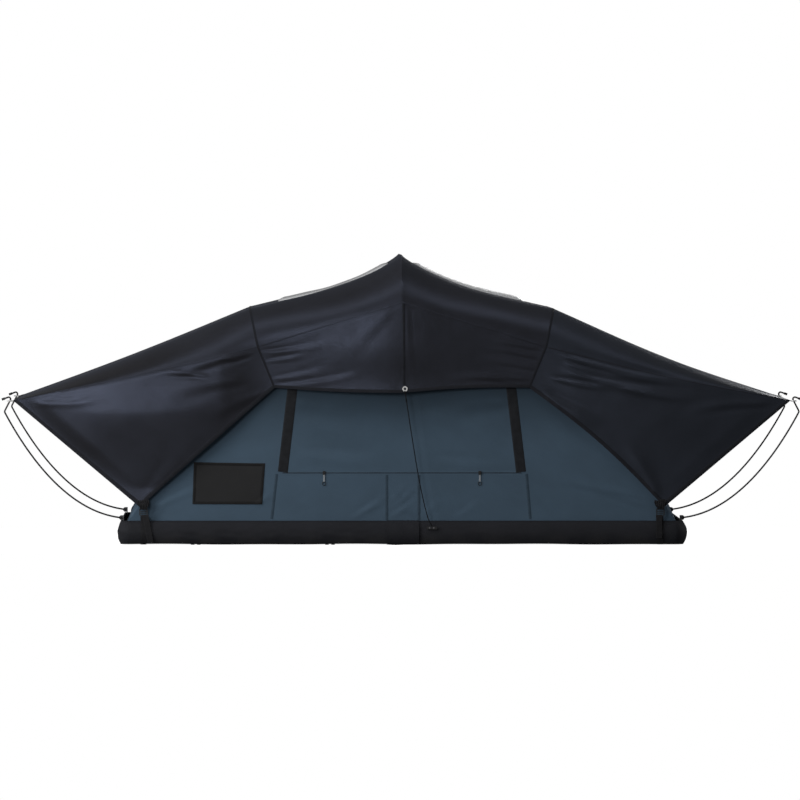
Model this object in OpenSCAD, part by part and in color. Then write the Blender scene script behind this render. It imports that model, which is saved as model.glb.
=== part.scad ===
// Fold-out roof top tent, standing open.
// Two hinged base halves carry a mattress, three folding hoops, a canvas body and a
// rain fly whose ends are held out as awnings by bent spring rods.
// X runs along the unfolded tent, Y across it and Z up. The origin is on the ground
// plane below the middle of the fold line. Each half is written as the left one (-X).

/* [Base] */
// Length of one base half, from the fold line to the end of its frame
half_l = 1160; // [1000:5:1300]
// Width of the base frame
base_w = 1830; // [1600:10:2000]
// Height of the frame section
frame_h = 45; // [38:1:60]
// Width of the frame section
frame_w = 30; // [26:1:40]
// Wall of the frame section
frame_wall = 2.5; // [2:0.1:3]
// Thickness of the deck panel
deck_t = 28; // [20:1:30]
// Half of the gap between the two halves at the fold line
fold_gap = 2; // [1:0.5:5]

/* [Mounting] */
// Height of a mounting rail
rail_h = 30; // [26:1:45]
// Width of a mounting rail
rail_w = 40; // [34:1:60]
// Wall of a mounting rail
rail_wall = 3; // [2:0.5:4]
// Width of the bolt slot along a rail
rail_slot = 11; // [8:0.5:14]
// Distance from the fold line to the inner rail
rail_inner = 300; // [200:10:450]
// Distance between the two rails
rail_spacing = 560; // [400:10:650]
// Diameter of a rail bolt
rail_bolt_d = 8; // [6:1:10]
// Distance between the two ladder brackets
ladder_spacing = 440; // [350:10:500]
// Diameter of a ladder bolt hole
ladder_hole_d = 10.5; // [8.5:0.5:12.5]

/* [Hinge] */
// Height of the fold axis above the deck
axis_rise = 86; // [82:1:110]
// Diameter of a hinge pin
pin_d = 12; // [10:0.5:14]
// Thickness of a hinge leaf
leaf_t = 4; // [3:0.5:5]
// Length of a hinge leaf along the base
leaf_l = 150; // [110:5:200]
// Radius of a hinge leaf round its pin
leaf_eye_r = 20; // [17:0.5:24]

/* [Hoops] */
// Tube diameter
bow_d = 19; // [16:0.5:22]
// Tube wall
bow_wall = 1.5; // [1:0.1:2]
// Length of the middle hoop, from the fold axis to its top tube
centre_bow_l = 1026; // [900:2:1060]
// How much shorter the two side hoops are
bow_nest = 24; // [23:0.5:40]
// Lean of a side hoop from upright
side_lean = 37.5; // [30:0.5:45]
// Bend radius of the middle hoop's corners
bow_corner_r = 180; // [120:5:240]
// Gap between two hoops on one pin
bow_gap = 4; // [2:0.5:6]

/* [Mattress] */
// Thickness of the mattress
mattress_t = 60; // [30:1:62]
// Gap between the mattress and the sides of the deck
mattress_margin = 45; // [35:1:120]

/* [Canvas] */
// Thickness of the canvas
canvas_t = 3; // [2:0.5:4]
// Corner radius of the canvas over the hoops
canvas_r = 200; // [150:5:260]
// How far the canvas roof sags between two hoops
canvas_sag = 58; // [45:1:80]
// Width of an end door
door_w = 980; // [600:10:1200]
// Height of an end door up the sloping end wall
door_h = 720; // [500:10:800]
// Width of a window's zip guard
guard_w = 42; // [25:1:60]

/* [Fly] */
// Thickness of the fly sheet
fly_t = 3; // [2:0.5:4]
// Gap from the canvas wall out to the fly's side
fly_gap = 17.5; // [14:0.5:30]
// Height of the padded sleeve between the middle hoop and the ridge
ridge_pad = 7.2; // [6:0.2:12]
// How far the fly sags between the ridge and a side hoop
fly_sag = 40; // [20:1:42]
// Height of the fly's side edge above the ground
fly_edge_z = 634; // [560:2:720]
// How far the tension cords draw the fly's side edge out at the middle
eave_out = 28; // [0:1:36]
// How far an awning's tip stands out beyond the end of the frame
awning_out = 462; // [380:2:520]
// Slope of an awning below level
awning_drop = 21.2; // [15:0.2:26]
// How much narrower than the frame an awning's tip is, on each side
awning_in = 10; // [2:1:14]
// Length of a roof skylight
skylight_l = 455; // [300:5:480]
// Width of a roof skylight
skylight_w = 860; // [500:10:1100]

/* [Skirt] */
// Height of the skirt round the base
skirt_h = 101; // [90:1:101]
// Thickness of the skirt
skirt_t = 3; // [2:0.5:4]
// How far the skirt bulges out from its top hem
skirt_bulge = 28; // [10:1:40]
// Gap from the frame to the skirt's top hem
skirt_hem = 12; // [9:0.5:16]

/* [Awning rods] */
// Diameter of a spring rod
rod_d = 7; // [5:0.5:8]
// Bend radius of a rod's lower part
rod_r = 405; // [300:5:450]
// Height of a rod's foot above the deck
rod_foot_rise = 38; // [36:1:40]
// Length of the hook at a rod's tip
rod_hook_l = 45; // [38:1:55]

/* [Ties and zips] */
// Width of a corner strap
strap_w = 25; // [20:1:40]
// Thickness of a corner strap
strap_t = 2; // [1.5:0.5:3]
// Distance from the end of the frame to a corner strap's middle
strap_inset = 82; // [60:1:140]
// Diameter of the side tension cord
cord_d = 4; // [3:0.5:5]
// Width of a zip slider
slider_w = 12; // [8:0.5:16]
// Height of the window's bottom zip above the ground
zip_z = 300; // [250:1:340]

/* [Hidden] */
$fn = 48;

// Clearances
seat_gap = 0.3;
run_gap = 0.05;
bolt_gap = 0.25;
touch = 0.4;

// Levels and half widths
half_w = base_w / 2;
deck_z = rail_h + frame_h;
axis_z = deck_z + axis_rise;
bow_pitch = bow_d + bow_gap;
side_bow_l = centre_bow_l - bow_nest;
lean_x = -sin(side_lean);
lean_z = cos(side_lean);

// Places across the hinge pin, from the outer leaf in
leaf_inset = 27;
leaf_gap = 2;
outer_leaf_y = half_w - leaf_inset - leaf_t;
centre_bow_y = outer_leaf_y - leaf_gap - bow_d / 2;
left_bow_y = centre_bow_y - bow_pitch;
right_bow_y = left_bow_y - bow_pitch;
inner_leaf_y = right_bow_y - bow_d / 2 - bow_gap - leaf_t;
pin_head_t = 5;
pin_end = 4;
foot_eye_r = 15;
foot_plug_l = 60;
foot_shoulder = 24;
leaf_foot_h = 4;
leaf_flange_w = 30;
leaf_relief = 26;

// Canvas and fly sections
wall_y = half_w + canvas_t + 0.5;
fly_y = wall_y + fly_gap + fly_t;
wall_foot_z = rail_h + 25;
end_foot_x = -half_l + 5;
bow_cover = bow_d / 2 + 1.4 + canvas_t;
canvas_top_s = side_bow_l + bow_cover;
canvas_ridge_z = axis_z + centre_bow_l + bow_d / 2 + ridge_pad + canvas_t;
ridge_z = canvas_ridge_z + seat_gap + fly_t;
end_wall_stand = 3;
arc_steps = 6;
top_steps = 8;
drop_steps = 5;
roof_steps = 8;
awning_steps = 10;
fly_seam_out = 24;
fly_seam_rise = 29;
fly_seam = [lean_x * side_bow_l - fly_seam_out, axis_z + lean_z * side_bow_l + fly_seam_rise];
fly_seam_arc = 159;
fly_ridge_arc = 198;
fly_shoulder_in = 33;
fly_corner_in = 104;
fly_corner_rise = 21;
fly_corner = [fly_seam[0] + fly_corner_in, fly_edge_z + fly_corner_rise];
tip_x = -half_l - awning_out;
tip = [tip_x, fly_seam[1] - (fly_seam[0] - tip_x) * tan(awning_drop)];
tip_y = half_w - awning_in;
tie_in = 66;
tie_rise = 57;
tie_point = [-half_l + tie_in, skirt_h + tie_rise];
tie_y = fly_y + 4;

// Awning rods
left_rod_y = half_w - 15;
right_rod_y = left_rod_y - rod_d - bow_gap;
socket_z = deck_z + rod_foot_rise;
socket_x = -half_l - 10;
socket_r = 10;
foot_d = rod_d + 1;
socket_w = 18;
grommet_r = 13;
grommet_hole_r = 6;
grommet_x = tip[0] - grommet_r - touch;
rod_kink = [grommet_x - 23, tip[1] - 46];
rod_sides = 8;
cap_l = 14;
cap_t = 1.5;

// Ties and zips
buckle_h = 30;
buckle_t = 6;
buckle_r = 4;
strap_top_z = tie_point[1] - buckle_h - 6;
clip_x = 125;
eyelet_r = 11;
eyelet_x = 12;
zip_left_x = -325;
slider_h = 16;
slider_t = 5;
slider_r = 3;
guard_top = [-455, fly_edge_z + 30];
guard_foot = [-497, zip_z + 4];

function lerp(a, b, t) = a + (b - a) * t;

// Sag of a sheet between two hoops: 0 at both, deepest towards the ridge
function sag_shape(v) = v <= 0 || v >= 1 ? 0 : pow(sin(180 * pow(v, 1.5)), 0.7);

// Mirrors what is written as the left half when it belongs to the right half
module half(right) {
    if (right) mirror([1, 0, 0]) children();
    else children();
}

// What is written for the far side (+Y), repeated on the near side
module both_sides() {
    children();
    mirror([0, 1, 0]) children();
}

// An outline drawn in X and Z, given a thickness along Y from y0
module plate_xz(y0, t) {
    translate([0, y0 + t, 0]) rotate([90, 0, 0]) linear_extrude(height = t) children();
}

// An outline drawn in Y and Z, given a length along X from x0
// A rectangle with round corners, from its lower left corner
module round_plate(w, h, r) {
    translate([r, 0]) square([w - 2 * r, h]);
    translate([0, r]) square([w, h - 2 * r]);
    for (x = [r, w - r], y = [r, h - r]) translate([x, y]) circle(r = r);
}

module bar_x(x0, l) {
    translate([x0, 0, 0]) rotate([90, 0, 90]) linear_extrude(height = l) children();
}

// A closed sheet between two grids of points, rows of equal length, outer grid first
module sheet(outer, inner) {
    rows = len(outer);
    cols = len(outer[0]);
    all = rows * cols;
    points = concat([for (r = outer) each r], [for (r = inner) each r]);
    function at(i, j) = i * cols + j;
    skin = [for (i = [0 : rows - 2], j = [0 : cols - 2])
        each [[at(i, j), at(i, j + 1), at(i + 1, j)], [at(i + 1, j), at(i, j + 1), at(i + 1, j + 1)]]];
    lining = [for (f = skin) [for (k = [2, 1, 0]) f[k] + all]];
    rim = concat(
        [for (j = [0 : cols - 2]) at(0, j)], [for (i = [0 : rows - 2]) at(i, cols - 1)],
        [for (j = [cols - 1 : -1 : 1]) at(rows - 1, j)], [for (i = [rows - 1 : -1 : 1]) at(i, 0)]);
    n = len(rim);
    edge = [for (k = [0 : n - 1])
        let (a = rim[k], b = rim[(k + 1) % n]) each [[a, a + all, b], [b, a + all, b + all]]];
    polyhedron(points = points, faces = concat(skin, lining, edge), convexity = 8);
}

// A tube of equal rings along a path that lies in the plane y = y0
module plane_tube(path, y0, d, sides) {
    n = len(path);
    dirs = [for (i = [0 : n - 1])
        let (a = path[max(i - 1, 0)], b = path[min(i + 1, n - 1)]) (b - a) / norm(b - a)];
    points = [for (i = [0 : n - 1], k = [0 : sides - 1])
        let (c = d / 2 * cos(360 * k / sides), s = d / 2 * sin(360 * k / sides))
        [path[i][0] - dirs[i][1] * c, y0 + s, path[i][1] + dirs[i][0] * c]];
    wall = [for (i = [0 : n - 2], k = [0 : sides - 1])
        let (a = i * sides + k, b = i * sides + (k + 1) % sides)
        each [[a, b, a + sides], [b, b + sides, a + sides]]];
    first = [for (k = [1 : sides - 2]) [k + 1, k, 0]];
    last = [for (f = first) [for (m = [2, 1, 0]) (n - 1) * sides + f[m]]];
    polyhedron(points = points, faces = concat(first, wall, last), convexity = 6);
}

// Base

// Section of an outer frame member: its outer face at 0, running inwards along +X of the outline
module frame_section(keder) {
    ledge_w = 15;
    keder_r = 3;
    keder_z = frame_h - 9;
    difference() {
        square([frame_w, frame_h]);
        translate([keder ? 9 : frame_wall, frame_wall])
            square([frame_w - frame_wall - (keder ? 9 : frame_wall), frame_h - 2 * frame_wall]);
        if (keder) {
            translate([4, keder_z]) circle(r = keder_r);
            translate([-1, keder_z - 1]) square([5, 2]);
        }
    }
    translate([frame_w, frame_h - deck_t - frame_wall]) square([ledge_w, frame_wall]);
}

module base_frame(right) {
    color("dimgray") half(right) difference() {
        union() {
            plate_xz(-half_w, base_w) translate([-half_l, rail_h]) frame_section(true);
            plate_xz(-half_w, base_w) translate([-fold_gap, rail_h]) mirror([1, 0]) frame_section(false);
            both_sides() bar_x(-half_l + frame_w, half_l - 2 * frame_w - fold_gap)
                translate([half_w, rail_h]) mirror([1, 0]) frame_section(true);
        }
        if (!right) rail_bolt_places() translate([0, 0, rail_h - 1])
            cylinder(d = rail_bolt_d + 2 * bolt_gap, h = frame_wall + 2);
    }
}

module deck(right) {
    color("silver") half(right)
        translate([-half_l + frame_w, -half_w + frame_w, deck_z - deck_t])
            cube([half_l - 2 * frame_w - fold_gap, base_w - 2 * frame_w, deck_t]);
}

// Mounting rails

module rail_places() {
    for (x = [rail_inner, rail_inner + rail_spacing]) translate([-x, 0, 0]) children();
}

module rail_bolt_places() {
    both_sides() rail_places() translate([0, half_w - frame_w / 2 - 3, 0]) children();
}

module roof_rails() {
    color("gray") difference() {
        rail_places() plate_xz(-half_w + 2, base_w - 4) difference() {
            translate([-rail_w / 2, 0]) square([rail_w, rail_h]);
            translate([-rail_w / 2 + rail_wall, rail_wall])
                square([rail_w - 2 * rail_wall, rail_h - 2 * rail_wall]);
            translate([-rail_slot / 2, -1]) square([rail_slot, rail_wall + 2]);
        }
        rail_bolt_places() translate([0, 0, rail_h - rail_wall - 1])
            cylinder(d = rail_bolt_d + 2 * bolt_gap, h = rail_wall + 2);
    }
}

module rail_bolts() {
    head_h = 5.3;
    nut_h = 6.5;
    across = rail_bolt_d * 1.8;
    web_z = rail_h - rail_wall;
    nut_z = rail_h + frame_wall;
    color("silver") rail_bolt_places() {
        translate([0, 0, web_z - head_h]) cylinder(d = across, h = head_h, $fn = 6);
        translate([0, 0, web_z - head_h]) cylinder(d = rail_bolt_d, h = head_h + rail_wall + frame_wall + nut_h + 2);
        translate([0, 0, nut_z]) cylinder(d = across, h = nut_h, $fn = 6);
    }
}

// Plates below the right half's end member, with a hole for the ladder's bolts
module ladder_brackets() {
    plate_t = 6;
    plate_l = 70;
    plate_w = 50;
    plate_r = 10;
    color("gray") both_sides() difference() {
        translate([half_l - 5 - plate_l, ladder_spacing / 2 - plate_w / 2, rail_h - plate_t])
            linear_extrude(height = plate_t) round_plate(plate_l, plate_w, plate_r);
        translate([half_l - 5 - plate_l + 17, ladder_spacing / 2, rail_h - plate_t - 1])
            cylinder(d = ladder_hole_d, h = plate_t + 2);
    }
}

// Skirt: a bulging band round three sides of a half

function skirt_out(z) = skirt_hem + skirt_bulge * sin(180 * z / skirt_h);

module skirt(right) {
    steps = 6;
    corner_r = 20;
    corner_steps = 4;
    lip_out = wall_y + seat_gap - half_w;
    free_l = 0.52 * half_l;
    free_out = skirt_hem - skirt_t - 0.1;
    outer = [for (k = [0 : steps]) let (z = skirt_h * (1 - k / steps)) [skirt_out(z), z]];
    inner = [for (k = [steps : -1 : 0])
        let (z = min(skirt_h * (1 - k / steps), skirt_h - skirt_t)) [skirt_out(skirt_h * (1 - k / steps)) - skirt_t, z]];
    band = concat(outer, inner);
    function ring(lip_n) = concat(band, [[lip_n, skirt_h - skirt_t], [lip_n, skirt_h]]);
    centre = [-half_l + corner_r, half_w - corner_r];
    // Each station: a point of the plan, the outward direction there and where the lip ends
    arc = [for (k = [0 : corner_steps]) let (a = 90 * k / corner_steps)
        [centre + corner_r * [-sin(a), cos(a)], [-sin(a), cos(a)], lip_out]];
    far = concat([[[-fold_gap / 2, half_w], [0, 1], free_out], [[-free_l, half_w], [0, 1], free_out],
        [[-free_l - 20, half_w], [0, 1], lip_out]], arc);
    near = [for (k = [len(far) - 1 : -1 : 0])
        [[far[k][0][0], -far[k][0][1]], [far[k][1][0], -far[k][1][1]], far[k][2]]];
    stations = concat(far, near);
    points = [for (s = stations, p = ring(s[2]))
        [s[0][0] + s[1][0] * p[0], s[0][1] + s[1][1] * p[0], p[1]]];
    n = len(band) + 2;
    walls = [for (i = [0 : len(stations) - 2], k = [0 : n - 1])
        let (a = i * n + k, b = i * n + (k + 1) % n) each [[a, a + n, b], [b, a + n, b + n]]];
    // An end is closed along the band, from outer points to inner points
    cap = concat(
        [for (k = [0 : steps - 1]) each [[k, k + 1, 2 * steps + 1 - k], [k + 1, 2 * steps - k, 2 * steps + 1 - k]]],
        [[0, 2 * steps + 2, 2 * steps + 3], [0, 2 * steps + 1, 2 * steps + 2]]);
    last = (len(stations) - 1) * n;
    caps = concat(cap, [for (f = cap) [f[2] + last, f[1] + last, f[0] + last]]);
    color([0.09, 0.09, 0.1]) half(right) polyhedron(points = points, faces = concat(walls, caps), convexity = 8);
}

module mattress(right) {
    notch_l = leaf_l + 20;
    notch_w = half_w - inner_leaf_y + leaf_flange_w + 10;
    end_x = -half_l + 60;
    side_y = half_w - mattress_margin;
    round_r = 20;
    color("lightsteelblue") half(right) translate([0, 0, deck_z + seat_gap])
        linear_extrude(height = mattress_t) difference() {
            union() {
                translate([end_x, -side_y + round_r]) square([-end_x - fold_gap, 2 * (side_y - round_r)]);
                translate([end_x + round_r, -side_y]) square([-end_x - round_r - fold_gap, 2 * side_y]);
                for (s = [-1, 1]) translate([end_x + round_r, s * (side_y - round_r)]) circle(r = round_r);
            }
            for (s = [-1, 1]) translate([-notch_l, s > 0 ? half_w - notch_w : -half_w]) square([notch_l, notch_w]);
        }
}

// Hinge

module leaf_outline() {
    difference() {
        union() {
            translate([0, axis_z]) circle(r = leaf_eye_r);
            polygon([[-leaf_l, deck_z], [-leaf_relief, deck_z],
                [leaf_eye_r * cos(-35), axis_z + leaf_eye_r * sin(-35)],
                [leaf_eye_r * cos(110), axis_z + leaf_eye_r * sin(110)], [-leaf_l, deck_z + 22]]);
        }
        translate([0, axis_z]) circle(d = pin_d + 2 * run_gap);
    }
}

// The left half's leaves stand outside the hoops and the right half's stand inside them
module hinge_leaves(right) {
    y0 = right ? inner_leaf_y : outer_leaf_y;
    flange_y = right ? inner_leaf_y - leaf_flange_w + leaf_t : outer_leaf_y;
    color("silver") half(right) both_sides() {
        plate_xz(y0, leaf_t) leaf_outline();
        translate([-leaf_l, flange_y, deck_z])
            cube([leaf_l - leaf_relief - 4, leaf_flange_w - (right ? 0 : 2), leaf_foot_h]);
    }
}

module hinge_pins() {
    inner = inner_leaf_y - pin_end;
    outer = outer_leaf_y + leaf_t;
    color("gray") both_sides() translate([0, 0, axis_z]) rotate([-90, 0, 0]) {
        translate([0, 0, inner]) cylinder(d = pin_d, h = outer - inner + pin_head_t);
        translate([0, 0, outer + seat_gap]) cylinder(r = pin_d / 2 + 4, h = pin_head_t - seat_gap);
        translate([0, 0, inner - pin_head_t + pin_end - seat_gap]) cylinder(r = pin_d / 2 + 4, h = pin_head_t);
    }
}

// Hoops, each written upright on the fold axis and leaned into place

module leaned(lean) {
    translate([0, 0, axis_z]) rotate([0, lean, 0]) children();
}

module tube_section() {
    difference() {
        circle(d = bow_d);
        circle(d = bow_d - 2 * bow_wall);
    }
}

module bow_legs(lean, y, l, bend) {
    color("darkgray") leaned(lean) both_sides()
        translate([0, y, foot_shoulder]) linear_extrude(height = l - bend - foot_shoulder) tube_section();
}

module bow_top(lean, y, l, bend) {
    color("darkgray") leaned(lean) {
        translate([0, y - bend, l]) rotate([90, 0, 0]) linear_extrude(height = 2 * (y - bend)) tube_section();
        both_sides() translate([0, y - bend, l - bend]) rotate([90, 0, 90])
            rotate_extrude(angle = 90, $fn = 64) translate([bend, 0]) tube_section();
    }
}

// Cast feet: an eye on the hinge pin and a plug inside the tube
module bow_feet(lean, y) {
    eye_w = bow_d - 2;
    collar_t = 6;
    color([0.15, 0.15, 0.16]) leaned(lean) both_sides() translate([0, y, 0]) difference() {
        union() {
            rotate([90, 0, 0]) cylinder(r = foot_eye_r, h = eye_w, center = true);
            cylinder(d = bow_d - 2 * bow_wall - 2 * run_gap, h = foot_shoulder + foot_plug_l);
            translate([0, 0, foot_shoulder - collar_t - seat_gap]) cylinder(d = bow_d, h = collar_t);
        }
        rotate([90, 0, 0]) cylinder(d = pin_d + 2 * run_gap, h = bow_d, center = true);
    }
}

// Awning rods

// A pad on the end of the frame with a head that the rod's foot turns in
module rod_sockets(right) {
    pad_t = 3;
    head_z = socket_z - socket_r;
    y = right ? right_rod_y : left_rod_y;
    color("dimgray") half(right) both_sides() difference() {
        plate_xz(y - rod_d / 2 - 2 - socket_w, socket_w) {
            polygon([[-half_l, rail_h + 15], [-half_l - pad_t, rail_h + 15], [-half_l - pad_t, head_z],
                [socket_x, head_z], [socket_x, socket_z + socket_r], [-half_l, socket_z + socket_r]]);
            translate([socket_x, socket_z]) circle(r = socket_r);
        }
        translate([socket_x, y, socket_z]) rotate([90, 0, 0])
            cylinder(d = foot_d + 2 * run_gap, h = 3 * socket_w, center = true);
    }
}

// Path of a rod from its foot: level, round one bend, straight to the kink and up through the grommet
rod_bend_centre = [socket_x, socket_z + rod_r];
kink_off = rod_kink - rod_bend_centre;
rod_turn = 90 - atan2(-kink_off[1], -kink_off[0]) - acos(rod_r / norm(kink_off));
rod_bend_end = rod_bend_centre + rod_r * [-sin(rod_turn), -cos(rod_turn)];
rod_eye = [grommet_x, tip[1] - fly_t / 2];
rod_hook = lerp(rod_kink, rod_eye, 1.5);
rod_hook_droop = 20;
rod_tip = rod_hook + rod_hook_l * [-cos(rod_hook_droop), -sin(rod_hook_droop)];

// Points that round the corner b of a path with radius r
function rounded(a, b, c, r, steps) = let (u = (a - b) / norm(a - b), v = (c - b) / norm(c - b),
    half_angle = acos(u * v) / 2, turn = 180 - 2 * half_angle, m = (u + v) / norm(u + v),
    centre = b + m * r / sin(half_angle), from = b + u * r / tan(half_angle) - centre,
    to = b + v * r / tan(half_angle) - centre)
    [for (k = [0 : steps]) let (t = k / steps)
        centre + (sin((1 - t) * turn) * from + sin(t * turn) * to) / sin(turn)];

function rod_path() = concat(
    [for (k = [0 : 10]) let (a = rod_turn * k / 10) rod_bend_centre + rod_r * [-sin(a), -cos(a)]],
    [for (t = [0.35, 0.7]) lerp(rod_bend_end, rod_kink, t)],
    rounded(rod_bend_end, rod_kink, rod_eye, 10, 4),
    rounded(rod_kink, rod_hook, rod_tip, 8, 6),
    [rod_tip]);

module rods(right) {
    y = right ? right_rod_y : left_rod_y;
    color([0.1, 0.1, 0.1]) half(right) both_sides() {
        plane_tube(rod_path(), y, rod_d, rod_sides);
        translate([socket_x, y + foot_d / 2, socket_z]) rotate([90, 0, 0]) cylinder(d = foot_d, h = socket_w + foot_d + 4);
    }
}

// Rubber caps on the hooked tips
module rod_caps(right) {
    y = right ? right_rod_y : left_rod_y;
    color([0.05, 0.05, 0.05]) half(right) both_sides()
        translate([rod_tip[0], y, rod_tip[1]]) rotate([0, -90 - rod_hook_droop, 0]) difference() {
            translate([0, 0, -cap_l + 3]) cylinder(d = rod_d + 2 * cap_t, h = cap_l);
            translate([0, 0, -cap_l]) cylinder(d = rod_d + 2 * run_gap, h = cap_l + touch);
        }
}

// Canvas body

// Points of a hoop's outline from one shoulder over the top to the other: distance across and drop
function arch(w, r) = concat(
    [for (k = [0 : arc_steps]) let (a = 90 * (1 - k / arc_steps)) [-(w - r) - r * sin(a), r * (1 - cos(a))]],
    [for (k = [1 : top_steps - 1]) [lerp(-(w - r), w - r, k / top_steps), 0]],
    [for (k = [0 : arc_steps]) let (a = 90 * k / arc_steps) [w - r + r * sin(a), r * (1 - cos(a))]]);

function bow_arch(w, r, s, stand) = [for (p = arch(w, r))
    [lean_x * (s - p[1]) - lean_z * stand, p[0], axis_z + lean_z * (s - p[1]) + lean_x * stand]];

function ridge_arch(w, r, z) = [for (p = arch(w, r)) [-seat_gap / 2, p[0], z - p[1]]];

// A roof panel between a side hoop and the middle one, sagging where it is highest
function roof_grid(w, r, inset) = let (a = bow_arch(w, r, canvas_top_s - inset, 0),
    b = ridge_arch(w, r, canvas_ridge_z - inset), d = arch(w, r))
    [for (i = [0 : roof_steps]) let (v = i / roof_steps) [for (j = [0 : len(a) - 1])
        lerp(a[j], b[j], v) - [0, 0, canvas_sag * sag_shape(v) * (1 - d[j][1] / r)]]];

module roof(right) {
    color([0.24, 0.3, 0.36]) half(right)
        sheet(roof_grid(wall_y, canvas_r, 0), roof_grid(wall_y - canvas_t, canvas_r - canvas_t, canvas_t));
}

wall_shoulder_s = canvas_top_s - canvas_r;
wall_shoulder = [lean_x * wall_shoulder_s, axis_z + lean_z * wall_shoulder_s];

// A side wall, flat, on the outside of the frame: from the fold line to the end, up to the hoops' shoulders
module side_wall(right, far) {
    color([0.27, 0.34, 0.41]) half(right) mirror([0, far ? 0 : 1, 0])
        plate_xz(wall_y - canvas_t, canvas_t) polygon([[end_foot_x, wall_foot_z],
            [-seat_gap / 2, wall_foot_z], [-seat_gap / 2, canvas_ridge_z - canvas_r - seat_gap],
            wall_shoulder - [0, seat_gap]]);
}

// A sloping end wall, ruled from the base to the side hoop's outline
module end_wall(right) {
    steps = 3;
    top = bow_arch(wall_y - canvas_t - 1, canvas_r, canvas_top_s, end_wall_stand + canvas_t);
    back = bow_arch(wall_y - canvas_t - 1, canvas_r, canvas_top_s, end_wall_stand);
    reach = wall_y - canvas_t - 1;
    function foot(p, x) = [x, p[1] / reach * (half_w - 1), deck_z + seat_gap];
    color([0.25, 0.32, 0.39]) half(right) sheet(
        [for (i = [0 : steps]) [for (p = top) lerp(foot(p, end_foot_x - canvas_t), p, i / steps)]],
        [for (i = [0 : steps]) [for (p = back) lerp(foot(p, end_foot_x), p, i / steps)]]);
}

// Slope of the end wall's flat middle
end_top = [lean_x * canvas_top_s - lean_z * (end_wall_stand + canvas_t),
    axis_z + lean_z * canvas_top_s + lean_x * (end_wall_stand + canvas_t)];
end_foot = [end_foot_x - canvas_t, deck_z + seat_gap];
end_slope = atan2(end_top[1] - end_foot[1], end_top[0] - end_foot[0]);

// A door panel zipped into the end wall, with round upper corners
module door(right) {
    sill = 70;
    round_r = 140;
    color([0.22, 0.28, 0.34]) half(right)
        translate([end_foot[0], 0, end_foot[1]]) rotate([0, -end_slope, 0]) rotate([0, 0, -90])
            translate([0, sill, seat_gap]) linear_extrude(height = canvas_t) {
                translate([-door_w / 2, 0]) square([door_w, door_h - round_r]);
                translate([-door_w / 2 + round_r, 0]) square([door_w - 2 * round_r, door_h]);
                for (s = [-1, 1]) translate([s * (door_w / 2 - round_r), door_h - round_r]) circle(r = round_r);
            }
}

// Dark guards over the two upright zips of each side window
module zip_guards(right) {
    guard_t = 2;
    color([0.08, 0.08, 0.09]) half(right) both_sides() plate_xz(wall_y + seat_gap, guard_t)
        polygon([guard_top - [guard_w / 2, 0], guard_foot - [guard_w / 2, 0],
            guard_foot + [guard_w / 2, 0], guard_top + [guard_w / 2, 0]]);
}

// A slider on the window's bottom zip with its pull tab and ring
module zip_slider(right, far) {
    tab_l = 18;
    tab_w = 6;
    ring_r = 7;
    y0 = wall_y + seat_gap;
    color([0.05, 0.05, 0.05]) half(right) mirror([0, far ? 0 : 1, 0]) {
        plate_xz(y0, slider_t) translate([zip_left_x - slider_w / 2, zip_z - slider_h / 2])
            round_plate(slider_w, slider_h, slider_r);
        plate_xz(y0 + 1, slider_t - 2) difference() {
            union() {
                translate([zip_left_x - tab_w / 2, zip_z - slider_h / 2 - tab_l]) square([tab_w, tab_l + 1]);
                translate([zip_left_x, zip_z - slider_h / 2 - tab_l - ring_r + 1]) circle(r = ring_r);
            }
            translate([zip_left_x, zip_z - slider_h / 2 - tab_l - ring_r + 1]) circle(r = ring_r - 2.2);
        }
    }
}

// Rain fly

// One cross-section of the fly: side edge, shoulder, arc and top, and the same on the far side
function fly_section(top, shoulder, edge, w, r, edge_y) = let (
    side = [for (k = [0 : drop_steps - 1]) let (t = k / drop_steps)
        [lerp(edge[0], shoulder[0], t), lerp(edge_y, w, t), lerp(edge[1], shoulder[1], t)]],
    arc = [for (k = [0 : arc_steps]) let (a = 90 * (1 - k / arc_steps), h = 1 - cos(a))
        [lerp(top[0], shoulder[0], h), w - r + r * sin(a), lerp(top[1], shoulder[1], h)]],
    far = concat(side, arc), n = len(far))
    concat([for (p = far) [p[0], -p[1], p[2]]],
        [for (k = [1 : top_steps - 1]) [top[0], lerp(-(w - r), w - r, k / top_steps), top[1]]],
        [for (k = [n - 1 : -1 : 0]) far[k]]);

function fly_top(v) = lerp(fly_seam, [0, ridge_z], v) - [0, fly_sag * sag_shape(v)];

seam_shoulder = fly_seam + [fly_shoulder_in, -fly_seam_arc];
ridge_shoulder = [0, ridge_z - fly_ridge_arc];

// Roof of the fly, from the side hoop's seam to the ridge
function fly_grid(in) = [for (i = [0 : roof_steps]) let (v = i / roof_steps)
    fly_section(fly_top(v) - [0, in], lerp(seam_shoulder, ridge_shoulder, v),
        lerp(fly_corner, [0, fly_edge_z], v), fly_y - in, lerp(fly_seam_arc, fly_ridge_arc, v),
        fly_y + eave_out * v - in)];

module fly(right) {
    color([0.11, 0.12, 0.15]) half(right) difference() {
        sheet(fly_grid(0), fly_grid(fly_t));
        skylight_hole(skylight_l - 40, skylight_w - 40);
    }
}

// An awning: the fly's section at the seam drawn out to a straight tip, with a wing down to each corner tie
wing_hollow = 22;
function awning_grid(in) = [for (i = [0 : awning_steps]) let (u = i / awning_steps)
    let (apart = [-seat_gap * (1 - u), 0])
    fly_section(lerp(fly_seam, tip, u) - [0, in] + apart,
        lerp(seam_shoulder, tip, u) - [0, in * u] + apart,
        lerp(fly_corner, tie_point, u) + wing_hollow * sin(180 * u) * [-0.6, 0.7] + apart,
        lerp(fly_y, tip_y, u) - in, lerp(fly_seam_arc, fly_seam_arc - 10, u),
        lerp(fly_y, tie_y, u) - in)];

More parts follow.
